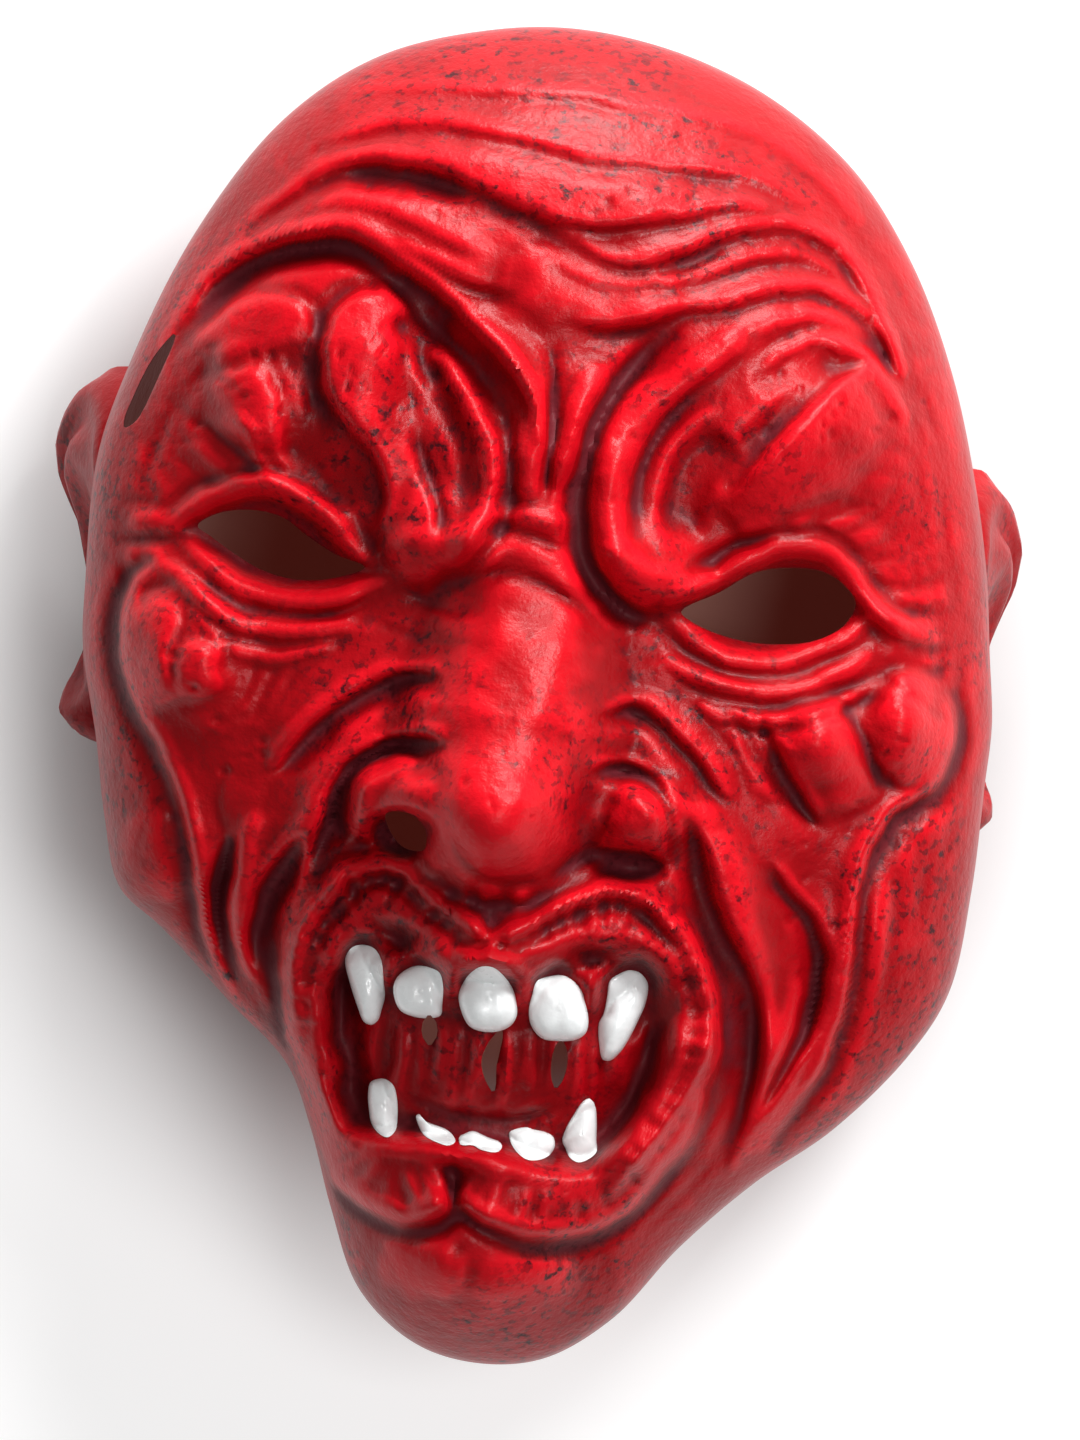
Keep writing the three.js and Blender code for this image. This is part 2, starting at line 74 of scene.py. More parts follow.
def smooth_line(points: Sequence[Point], closed: bool = False, steps: int = 6) -> np.ndarray:
    """Centripetal Catmull-Rom curve through points: each span's end slopes lean on its neighbours.

    Args:
        points: Places in the drawing, in order.
        closed: Whether the last point joins the first.
        steps: Samples in each span.

    Returns:
        Rows of x, y along the curve; a closed curve repeats its first place at the end.
    """
    p = np.asarray(points, float)
    if closed:
        p = np.vstack([p[-1], p, p[0], p[1]])
    else:
        p = np.vstack([2 * p[0] - p[1], p, 2 * p[-1] - p[-2]])
    a, b, c, d = p[:-3], p[1:-2], p[2:-1], p[3:]
    spans = ((b, a), (c, b), (d, c))
    first, middle, last = (np.sqrt(np.linalg.norm(q - r, axis=1))[:, None] for q, r in spans)
    start = middle * ((b - a) / first - (c - a) / (first + middle) + (c - b) / middle)
    end = middle * ((c - b) / middle - (d - b) / (middle + last) + (d - c) / last)
    t = np.linspace(0, 1, steps, endpoint=False)[None, :, None]
    b, c, start, end = (q[:, None, :] for q in (b, c, start, end))
    curve = ((2 * t**3 - 3 * t**2 + 1) * b + (t**3 - 2 * t**2 + t) * start
             + (3 * t**2 - 2 * t**3) * c + (t**3 - t**2) * end)
    return np.vstack([curve.reshape(-1, 2), p[-2]])


def smoothstep(low: float, high: float, value: np.ndarray) -> np.ndarray:
    """The cubic 3t^2 - 2t^3 of value's share t of the way from low to high."""
    t = np.clip((value - low) / (high - low), 0, 1)
    return t * t * (3 - 2 * t)


def blurred(values: np.ndarray, cells: float) -> np.ndarray:
    """Near-Gaussian blur: three running means of the given half width along each axis.

    Args:
        values: A raster.
        cells: Spread of the blur, in cells.

    Returns:
        The blurred raster.
    """
    half = max(1, int(round(cells)))
    result = values.astype(float)
    for _ in range(3):
        for axis in (0, 1):
            moved = np.moveaxis(result, axis, 0)
            wide = np.concatenate([np.repeat(moved[:1], half + 1, 0), moved, np.repeat(moved[-1:], half, 0)])
            total = np.cumsum(wide, 0)
            moved = (total[2 * half + 1:] - total[:-2 * half - 1]) / (2 * half + 1)
            result = np.moveaxis(moved, 0, axis)
    return result


def lowest(values: np.ndarray, cells: int) -> np.ndarray:
    """Smallest value within the given number of cells up, down and to both sides.

    Args:
        values: A raster.
        cells: Reach, in cells.

    Returns:
        The raster of smallest values.
    """
    result = values
    for _ in range(cells):
        for axis in (0, 1):
            result = np.minimum(result, np.minimum(np.roll(result, 1, axis), np.roll(result, -1, axis)))
    return result


class Raster:
    """Heights over the drawing plane on a square grid, in millimetres.

    Its sway holds three rasters of lumps: two shift each stroke's path in x and y, so that no line
    runs too smoothly, and the third makes its height swell and sink along the way.
    """

    def __init__(self, step: float = 0.5) -> None:
        """Makes an empty raster that covers the whole mask.

        Args:
            step: Distance between cells, in millimetres.
        """
        self.step = step
        self.x = np.arange(-106, 106 + step, step)
        self.y = np.arange(-142, 144 + step, step)
        self.height = np.zeros((len(self.y), len(self.x)))
        self.sway = [0.55 * self.lumps(9, seed) + 0.3 * self.lumps(4, seed + 1) for seed in (31, 33)]
        self.sway.append(self.lumps(11, 35))

    def window(self, low: np.ndarray, high: np.ndarray) -> tuple[slice, slice]:
        """Rows and columns between two corners of the drawing.

        Args:
            low: Left and lower edge.
            high: Right and upper edge.

        Returns:
            The two slices.
        """
        columns = slice(*np.searchsorted(self.x, (low[0], high[0])))
        rows = slice(*np.searchsorted(self.y, (low[1], high[1])))
        return rows, columns

    def places(self, rows: slice, columns: slice) -> tuple[np.ndarray, np.ndarray]:
        """The x and y of each cell of a window."""
        return np.meshgrid(self.x[columns], self.y[rows])

    def lumps(self, size: float, seed: int) -> np.ndarray:
        """Smooth random lumps: seeded random heights on a coarse grid, blended by smoothstep.

        Args:
            size: Distance between the random heights, in millimetres.
            seed: Seed of the random draw.

        Returns:
            A raster of about -1 to 1.
        """
        rng = np.random.default_rng(seed)
        column = (self.x - self.x[0]) / size
        row = (self.y - self.y[0]) / size
        values = rng.uniform(-1, 1, (int(row[-1]) + 2, int(column[-1]) + 2))
        i, j = row.astype(int), column.astype(int)
        u = smoothstep(0, 1, row - i)[:, None]
        v = smoothstep(0, 1, column - j)[None, :]
        low = values[np.ix_(i, j)] * (1 - v) + values[np.ix_(i, j + 1)] * v
        high = values[np.ix_(i + 1, j)] * (1 - v) + values[np.ix_(i + 1, j + 1)] * v
        return low * (1 - u) + high * u

    def sample(self, values: np.ndarray, x: np.ndarray, y: np.ndarray) -> np.ndarray:
        """A raster's values at places between its cells, by bilinear blending.

        Args:
            values: A raster.
            x: Places across.
            y: Places up.

        Returns:
            A value for each place.
        """
        column = np.clip((x - self.x[0]) / self.step, 0, len(self.x) - 1.001)
        row = np.clip((y - self.y[0]) / self.step, 0, len(self.y) - 1.001)
        i, j = row.astype(int), column.astype(int)
        u, v = row - i, column - j
        low = values[i, j] * (1 - v) + values[i, j + 1] * v
        high = values[i + 1, j] * (1 - v) + values[i + 1, j + 1] * v
        return low * (1 - u) + high * u

    def inside(self, loop: np.ndarray) -> np.ndarray:
        """Which cells a closed line surrounds: an odd number of its edges lies to their right.

        Args:
            loop: The line, its first place repeated at its end.

        Returns:
            True for the cells inside.
        """
        x, y = np.meshgrid(self.x, self.y)
        odd = np.zeros(x.shape, bool)
        for (ax, ay), (bx, by) in zip(loop[:-1], loop[1:]):
            if ay != by:
                crosses = (ay > y) != (by > y)
                odd ^= crosses & (x < ax + (y - ay) / (by - ay) * (bx - ax))
        return odd


class Section(Enum):
    """Profile of a stroke across its line, from the distance q in half widths."""

    ROLL = "a rounded ridge"
    CREASE = "a cusped groove"
    FOLD = "a lip on the left of the line that drops into a crease on its right"
    GROOVE = "a flat-bottomed valley"
    RIDGE = "a sharp crest"


@dataclass(frozen=True)
class Stroke:
    """One fold, ridge or crease along a curve through given points."""

    section: Section
    half_width: float
    rise: float
    points: tuple[Point, ...]
    fade: float = 0.18

    def near(self, raster: Raster) -> tuple[tuple[slice, slice], np.ndarray, np.ndarray, np.ndarray]:
        """Distance to the line, share of the way along it and side of it, in a window round it.

        Args:
            raster: Raster whose cells are measured.

        Returns:
            The window, and for its cells the distance, the share, and 1 on the line's left or -1
            on its right.
        """
        line = smooth_line(self.points)
        reach = self.half_width + SWAY_REACH
        window = raster.window(line.min(0) - reach, line.max(0) + reach)
        x, y = raster.places(*window)
        sway_x, sway_y = raster.sway[0][window], raster.sway[1][window]
        away = np.full(x.shape, np.inf)
        share = np.zeros(x.shape)
        side = np.zeros(x.shape)
        lengths = np.linalg.norm(np.diff(line, axis=0), axis=1)
        starts = np.concatenate([[0], np.cumsum(lengths)])
        for a, b, length, start in zip(line[:-1], line[1:], lengths, starts):
            if length < 1e-6:
                continue
            rows = slice(*np.searchsorted(y[:, 0], (min(a[1], b[1]) - reach, max(a[1], b[1]) + reach)))
            columns = slice(*np.searchsorted(x[0], (min(a[0], b[0]) - reach, max(a[0], b[0]) + reach)))
            part_x = x[rows, columns] + sway_x[rows, columns]
            part_y = y[rows, columns] + sway_y[rows, columns]
            along = (b - a) / length
            t = np.clip(((part_x - a[0]) * along[0] + (part_y - a[1]) * along[1]) / length, 0, 1)
            dx = part_x - a[0] - t * length * along[0]
            dy = part_y - a[1] - t * length * along[1]
            gap = np.hypot(dx, dy)
            closer = gap < away[rows, columns]
            away[rows, columns][closer] = gap[closer]
            share[rows, columns][closer] = ((start + t * length) / starts[-1])[closer]
            side[rows, columns][closer] = np.sign(along[0] * dy - along[1] * dx)[closer]
        return window, away, share, side

    def stamp(self, raster: Raster) -> None:
        """Adds the stroke to the raster. It narrows and sinks to nothing over its fade at each end.

        A roll is (1 - q^2)^1.3, a crease -(1 - q)^2 with low shoulders, a groove the smoothstep
        from its floor to its edge, a ridge (1 - q)^1.5, and a fold (1 - q)^2 on its lip's side and
        a quick drop to -0.8 with a slow way back on the other.

        Args:
            raster: Raster that is carved.
        """
        window, away, share, side = self.near(raster)
        ends = np.sqrt(np.clip(np.minimum(share, 1 - share) / self.fade, 0, 1))
        q = np.clip(away / (self.half_width * (0.45 + 0.55 * ends)), 0, 1)
        if self.section is Section.ROLL:
            shape = (1 - q * q) ** 1.3
        elif self.section is Section.GROOVE:
            shape = smoothstep(0.35, 1, q) - 1
        elif self.section is Section.RIDGE:
            shape = (1 - q) ** 1.5
        elif self.section is Section.CREASE:
            shape = 0.5 * np.sin(np.pi * q) ** 2 * (1 - q) - (1 - q) ** 2
        else:
            lip = (1 - q) ** 2
            fall = 1 - 1.8 * smoothstep(0, FOLD_DROP, q)
            back = -0.8 * (1 - smoothstep(FOLD_DROP, 1, q))
            low = np.where(q < FOLD_DROP, fall, back)
            shape = np.where(side > 0, lip, low)
        raster.height[window] += self.rise * ends * shape * (1 + 0.3 * raster.sway[2][window])


def roll(half_width: float, rise: float, *points: Point, fade: float = 0.18) -> Stroke:
    """A rounded ridge."""
    return Stroke(Section.ROLL, half_width, rise, points, fade)


def crease(half_width: float, depth: float, *points: Point, fade: float = 0.18) -> Stroke:
    """A cusped groove."""
    return Stroke(Section.CREASE, half_width, depth, points, fade)


def groove(half_width: float, depth: float, *points: Point, fade: float = 0.18) -> Stroke:
    """A flat-bottomed valley."""
    return Stroke(Section.GROOVE, half_width, depth, points, fade)


def ridge(half_width: float, rise: float, *points: Point, fade: float = 0.18) -> Stroke:
    """A sharp crest."""
    return Stroke(Section.RIDGE, half_width, rise, points, fade)


def fold(half_width: float, rise: float, *points: Point, fade: float = 0.18) -> Stroke:
    """A lip that overhangs a crease; the lip is on the left of the way through the points."""
    return Stroke(Section.FOLD, half_width, rise, points, fade)


@dataclass(frozen=True)
class Mound:
    """A soft mound or hollow, rise times (1 - q^2)^2 of the distance q in radii."""

    x: float
    y: float
    across: float
    up: float
    turn: float
    rise: float

    def stamp(self, raster: Raster) -> None:
        """Adds the mound to the raster.

        Args:
            raster: Raster that is raised or sunk.
        """
        x, y = np.meshgrid(raster.x - self.x, raster.y - self.y)
        cos, sin = math.cos(math.radians(self.turn)), math.sin(math.radians(self.turn))
        q = ((x * cos + y * sin) / self.across) ** 2 + ((y * cos - x * sin) / self.up) ** 2
        raster.height += self.rise * np.clip(1 - q, 0, 1) ** 2


@dataclass
class HeadForm:
    """The bald head without its carving: a dome over the widest line, and sides down to the rim."""

    side_depth: float = 50
    dome_rise: float = 46
    dome_power: float = 2.35
    rim_draw: float = 0.08
    outline: tuple[Point, ...] = (
        (91, 16), (89, 33), (85, 52), (79, 72), (70, 92), (57, 110), (40, 123), (21, 131), (0, 134.5),
        (-18, 133), (-40, 126), (-58, 112), (-74, 88), (-85, 61), (-90, 42), (-90.5, 16), (-90, 4),
        (-86, -14), (-83, -30), (-79, -43.5), (-70, -51), (-55, -65), (-43, -76), (-37, -89),
        (-32, -104), (-25, -120), (-13, -130), (0, -133), (13, -131), (26, -122), (38, -107), (52, -93),
        (67, -81), (81, -65), (88, -52), (91, -31), (92, -10), (92.5, 2))
    masses: tuple[Mound, ...] = (
        Mound(-5, 100, 76, 44, 0, 9), Mound(-2, 48, 30, 36, 0, 9), Mound(-2, -66, 56, 52, 0, 13),
        Mound(-5, -113, 28, 22, 0, 12),
        Mound(-50, 62, 36, 32, 0, 8), Mound(-19, 31, 15, 13, 0, 6), Mound(-52, 25, 27, 15, -12, -9),
        Mound(-68, 4, 16, 25, 10, 7), Mound(-62, -46, 20, 26, 0, -5),
        Mound(50, 62, 38, 32, 0, 9), Mound(20, 29, 15, 12, 0, 7), Mound(46, 21, 27, 15, 8, -9),
        Mound(58, -4, 14, 12, 0, 6), Mound(75, 0, 11, 13, 0, 6), Mound(57, -52, 18, 34, 0, -5),
        Mound(-5, -24, 20, 20, 0, 6), Mound(-27, -21, 12, 11, 0, 12), Mound(23, -22, 13, 11, 0, 12),
        Mound(-23, -28, 8, 6, 0, -11), Mound(22, -31, 9, 5, 0, -7))

    def __post_init__(self) -> None:
        """Samples the widest line as a radius for each direction."""
        line = smooth_line(self.outline, closed=True, steps=16)[:-1]
        angle = np.arctan2(line[:, 1], line[:, 0])
        order = np.argsort(angle)
        self._angle = angle[order]
        self._radius = np.hypot(line[:, 0], line[:, 1])[order]

    def radius(self, angle: np.ndarray) -> np.ndarray:
        """Distance from the middle of the face to the widest line in each direction."""
        return np.interp(angle, self._angle, self._radius, period=2 * math.pi)

    def share(self, x: np.ndarray, y: np.ndarray) -> np.ndarray:
        """Share of the way from the middle to the widest line, no more than 1."""
        return np.minimum(np.hypot(x, y) / self.radius(np.arctan2(y, x)), 1)

    def dome(self, share: np.ndarray) -> np.ndarray:
        """Height of the bare dome: side depth plus rise times the root of 1 - share^power."""
        return self.side_depth + self.dome_rise * np.sqrt(np.maximum(1 - share**self.dome_power, 0))

    def relief_left(self, share: np.ndarray) -> np.ndarray:
        """Share of the carving's height that is left: 1 - share^14, none on the widest line."""
        return 1 - share**14

    def nose_ridge(self, raster: Raster) -> None:
        """Adds the nose: rise times (1 - q^2.6)^1.7 of the distance q in half widths from its line.

        Both are blended along the line, and the rise grows from root to tip.

        Args:
            raster: Raster that is raised.
        """
        path = ((0, 27), (-2, 10), (-4, -6), (-6, -19))
        ruler = Stroke(Section.ROLL, 28, 1, path)
        window, away, share, _ = ruler.near(raster)
        places = np.linspace(0, 1, len(path))
        half = np.interp(share, places, (17, 22, 25, 23))
        rise = np.interp(share, places, (3, 13.5, 20.5, 24))
        q = np.clip(away / half, 0, 1)
        raster.height[window] += rise * (1 - q**2.6) ** 1.7


@dataclass
class Forehead:
    """The wrinkled brow band between the smooth crown and the frown; each fold hangs over the next."""

    folds: tuple[Stroke, ...] = (
        fold(4.5, 1.0, (-44, 117), (-36, 118.5), (-28, 119.5), (-13, 120.5), (7, 119.5), (23, 117.5),
             (35, 115.5), (43, 112), (50, 107), (56, 101), (61, 94)),
        fold(3, 0.5, (-14, 115.5), (0, 116), (14, 115.5), (27, 113.5), (37, 110)),
        fold(6, 1.5, (-52, 106), (-44, 110), (-34, 112.5), (-25, 113), (-14, 111.5), (-6, 109.5),
             (4, 108), (14, 107.5), (24, 107.5), (38, 105.5), (47, 101)),
        fold(8, 2.6, (-66, 87), (-58, 95), (-52, 99.5), (-45, 103), (-38, 104.5), (-30, 104.5),
             (-22, 102.5), (-15, 99.5), (-8, 97), (-1, 95.3), (10, 95), (22, 98), (33, 100.5), (43, 101)),
        fold(6.5, 2.4, (-6, 94), (2, 91), (8, 88.5), (15, 87.5), (21, 89.5), (30, 94.5), (38, 97),
             (46, 97.5), (53, 95), (59, 89), (64, 80), (68, 69)),
        fold(5, 1.2, (-3, 88), (8, 83.5), (20, 84), (31, 88), (40, 91), (49, 91.5), (56, 87), (62, 79)),
        fold(7, 2.8, (3, 75), (12, 75.5), (19, 77.5), (25, 80), (33, 81.5), (42, 84.5), (52, 85.5),
             (60, 82), (66, 75), (70, 66)),
        fold(8.5, 3.8, (-78, 62), (-74, 72), (-68, 80), (-62, 84.5), (-54, 88), (-46, 89.5),
             (-38, 87.5), (-30, 83), (-22, 78), (-15, 72), (-8, 65), (-3.5, 57), (-2, 48)),
        fold(4.5, 1.4, (-34, 88.5), (-26, 85), (-18, 81.5), (-10, 79.5)),
        fold(4.5, 1.2, (-58, 91), (-50, 94.5), (-42, 95.5), (-33, 93.5), (-26, 90), (-16, 87)),
    )
    valleys: tuple[Stroke, ...] = (
        groove(4.5, 2.0, (-44, 99.5), (-36, 101.5), (-28, 101), (-20, 98)),
        groove(3.5, 1.8, (-34, 81), (-27, 76), (-20, 71)),
        groove(3.6, 2.2, (-72, 67), (-68, 75), (-61, 81), (-52, 84.5), (-43, 85), (-35, 82)),
        crease(2.6, 1.2, (-74, 55), (-76, 66), (-71, 76), (-63, 85)),
        crease(2.2, 1.0, (-78, 55), (-79.5, 66), (-74, 77), (-66, 87), (-57, 95)),
        crease(2, 0.9, (44, 86), (54, 88), (62, 84), (68, 76), (72, 66)),
        crease(2, 1.1, (60, 96), (66, 88), (71, 77), (75, 64), (77, 52)),
        crease(2, 1.1, (55, 91), (63, 84.5), (69, 75), (73, 63), (74.5, 50)),
        crease(1.8, 1.0, (66, 80), (70, 70), (72, 58), (72.5, 46)),
        crease(1.6, 0.9, (71, 84), (75, 72), (78, 58), (79, 44)),
    )
    rolls: tuple[Stroke, ...] = (
        roll(6, 1.6, (-30, 107.5), (-16, 105.5), (-4, 102), (10, 101), (26, 103)),
        roll(7, 2.2, (-68, 82), (-60, 89), (-50, 93), (-41, 93.5), (-30, 90), (-20, 86), (-10, 84)),
        roll(9, 2.6, (-12, 84), (0, 80), (12, 81), (24, 83)),
        roll(5, 1.8, (8, 92.5), (19, 93), (29, 97.5), (40, 100)),
        roll(4.5, 1.6, (30, 91), (40, 94.3), (49, 94.6), (56, 90.5)),
        roll(5, 1.8, (18, 71), (27, 75.5), (36, 78.5), (46, 80.5), (56, 79), (64, 72)),
    )

    def strokes(self) -> list[Stroke]:
        """Every stroke of the band."""
        return [*self.folds, *self.valleys, *self.rolls]


@dataclass
class Brows:
    """The knotted frown: rolls that curl in over the root of the nose, parted by flat grooves."""

    left: tuple[Stroke, ...] = (
        roll(8.5, 5.2, (-36, 77), (-38, 70), (-38, 62), (-35, 54), (-30.5, 47), (-27.5, 40), (-26, 33),
             (-23, 27)),
        roll(7, 4.5, (-30, 31), (-26, 27), (-20, 26), (-14.5, 29), (-11, 34)),
        fold(7, 3.2, (-30, 75), (-36, 78), (-42, 74.5), (-45, 69), (-45, 61), (-41.5, 54.5),
             (-36, 49.5), (-32.5, 44), (-31, 37), (-31.5, 31)),
        crease(2.2, 1.8, (-32, 71), (-30, 65), (-28.5, 59), (-26.5, 53.5)),
        ridge(2.6, 1.8, (-29.5, 66), (-28, 60), (-25, 54), (-21, 49.5), (-19, 45.5), (-18.2, 40)),
        crease(3.4, 4.4, (-27, 51), (-24.5, 46), (-22.5, 41), (-20.5, 35), (-19.8, 31)),
        crease(2, 2.0, (-22, 58), (-20, 53), (-18, 48), (-17, 42), (-16.4, 36)),
        groove(3.6, 3.2, (-33, 73), (-28, 71), (-25, 66), (-22.5, 60)),
        roll(4.6, 5, (-25, 68), (-20, 64), (-15, 58), (-12, 52), (-10.5, 45), (-10.6, 38), (-13, 31.5),
             (-17, 27.5)),
        groove(2.9, 4.2, (-31, 77), (-25, 72), (-20, 67), (-14.5, 61), (-10.6, 54.5), (-8.4, 48),
               (-7.6, 41), (-8.4, 35), (-11, 29.5), (-15, 24), (-21, 20.5)),
        roll(4.4, 4, (-22, 74), (-14, 70), (-8.5, 65), (-5, 59), (-3.8, 52), (-3.6, 45), (-3.8, 39)),
        ridge(2, 1.2, (-24, 78.5), (-14, 76), (-8, 72), (-3.5, 67), (-1, 61)),
        crease(1.6, 1.4, (-20, 77), (-11, 73), (-6, 68), (-3, 62)),
        roll(10, 3.4, (-68, 58), (-62, 58), (-58, 53), (-59, 46)),
        groove(2.4, 1.4, (-72, 57), (-67, 59.6), (-61, 63), (-55, 62.6)),
        roll(8, 2, (-72, 64), (-66, 69), (-58, 71), (-51, 70)),
        fold(5, 1.8, (-47, 66), (-52, 74), (-60, 75), (-68, 70), (-74, 62)),
        groove(6.5, 3.4, (-56, 66), (-52, 61), (-49, 54), (-47, 47), (-42, 41), (-37, 36)),
        crease(2.6, 2.6, (-70, 51), (-65, 47.4), (-60, 43.6), (-56.4, 41)),
        crease(2, 1.8, (-58, 48), (-55.8, 44.5), (-53.5, 40.5)),
        ridge(2.2, 1.6, (-71, 46), (-66, 42.5), (-61, 39.5), (-57, 38.6)),
        ridge(2.6, 2.6, (-63, 53), (-58.6, 48), (-56, 42.5), (-53, 39)),
        crease(1.8, 1.2, (-75, 44), (-70, 40), (-65, 37.6)),
        crease(1.6, 1.2, (-51, 47), (-49.5, 43), (-48, 38.5)),
        crease(1.6, 1, (-46, 47), (-45, 42), (-43.5, 37)),
        crease(1.6, 1.1, (-77, 55), (-72, 51), (-66, 49)),
        ridge(2.4, 1.4, (-48, 42), (-44.5, 38), (-40, 33), (-36, 28)),
        crease(2, 1.8, (-40, 38), (-36.5, 33.5), (-33.5, 28.5), (-31, 24)),
        crease(1.4, 0.8, (-60, 62), (-56, 60), (-53, 57)),
    )
    middle: tuple[Stroke, ...] = (
        crease(2.6, 4.6, (-1.8, 70), (-0.6, 66), (0.2, 60), (0.4, 52), (0.4, 45), (0.6, 38.5)),
        roll(3.8, 3.6, (9, 67), (6.4, 61), (5.2, 55), (4.2, 49), (3, 41.5)),
        groove(2.9, 4.6, (24, 75), (18, 70), (12.6, 63.5), (9.2, 55.5), (7, 47.5), (6, 39.5),
               (7.4, 31.5), (11, 24.5), (16, 19.5), (22, 17)),
        crease(1.6, 1.2, (4.5, 68.5), (8, 68), (12, 67)),
        crease(1.6, 1.8, (-11, 37.8), (-5, 38.2), (1, 37.6), (6, 38)),
        roll(2.6, 2, (-12, 34.6), (-6, 35.8), (1, 35), (6, 35.2)),
        crease(2, 2.4, (-13, 31.5), (-7, 32.6), (0, 31.4), (6.5, 30.4)),
        roll(4, 2.6, (-17, 23.5), (-11, 28), (-4, 28.6), (3, 26.5), (9, 21)),
        crease(2.4, 2.4, (-20, 19.5), (-13, 23), (-5, 24), (3, 22), (10, 17), (15, 12)),
        crease(1.6, 1.0, (-13, 27), (-9, 30), (-4, 30)),
    )
    right: tuple[Stroke, ...] = (
        roll(5.4, 5.4, (37, 75.5), (32, 71.5), (27.5, 67.5), (22.5, 63), (17.5, 58), (14.6, 52),
             (13.2, 46), (12.6, 39.5), (13.4, 33), (16, 28)),
        roll(6.5, 4.6, (14, 33), (17, 27), (22, 24.2), (28, 24.6), (34, 27.5)),
        crease(2.6, 3.2, (36, 70.5), (30, 65), (24.5, 59), (20, 52), (18, 45), (17.6, 38)),
        crease(1.6, 1.2, (14.6, 47), (16.4, 43), (17.2, 39)),
        ridge(2.4, 1.8, (33, 60), (27.5, 56.5), (23.5, 50), (22, 43), (22, 36), (25, 31)),
        groove(6, 2.6, (36, 54), (30, 48), (27, 41), (27.5, 34)),
        fold(9, 3.2, (64, 71), (58, 67.5), (52, 62), (46.5, 55.5), (41.5, 48.5), (37, 42)),
        roll(11, 3.6, (62, 66), (57, 60), (51, 52), (44, 44), (37, 37)),
        fold(5, 1.8, (71, 60), (66, 69), (60, 74), (52, 75.5), (45, 73), (39, 68)),
        crease(1.8, 1.2, (70, 65), (64, 73), (57, 77.5), (49, 78), (42, 75.5)),
        crease(1.6, 1, (40, 71.5), (47, 74.5), (54, 75)),
        groove(4.5, 1.8, (39, 67), (44, 68), (49, 71), (56, 72.5)),
        crease(1.8, 1.5, (44, 37.5), (50, 40.5), (55, 43), (59, 46)),
        crease(2, 1.7, (52, 39), (58, 41), (63, 44.5)),
        crease(1.8, 1.5, (58, 37), (64, 40.5), (68.5, 44.5), (70, 49)),
        crease(1.5, 1.2, (61, 33.5), (67, 36.5), (72, 39.5)),
        roll(4, 1.6, (48, 37.5), (56, 39), (63, 38), (68, 35)),
        crease(2.4, 2.4, (26, 27.5), (33, 31), (40, 34.5), (46, 36.5)),
        crease(1.5, 0.9, (63, 54), (68, 56), (72, 54)),
        crease(1.5, 0.9, (60, 49), (66, 51), (71, 49)),
    )

    def strokes(self) -> list[Stroke]:
        """Every stroke of both brows and of the knot between them."""
        return [*self.left, *self.middle, *self.right]


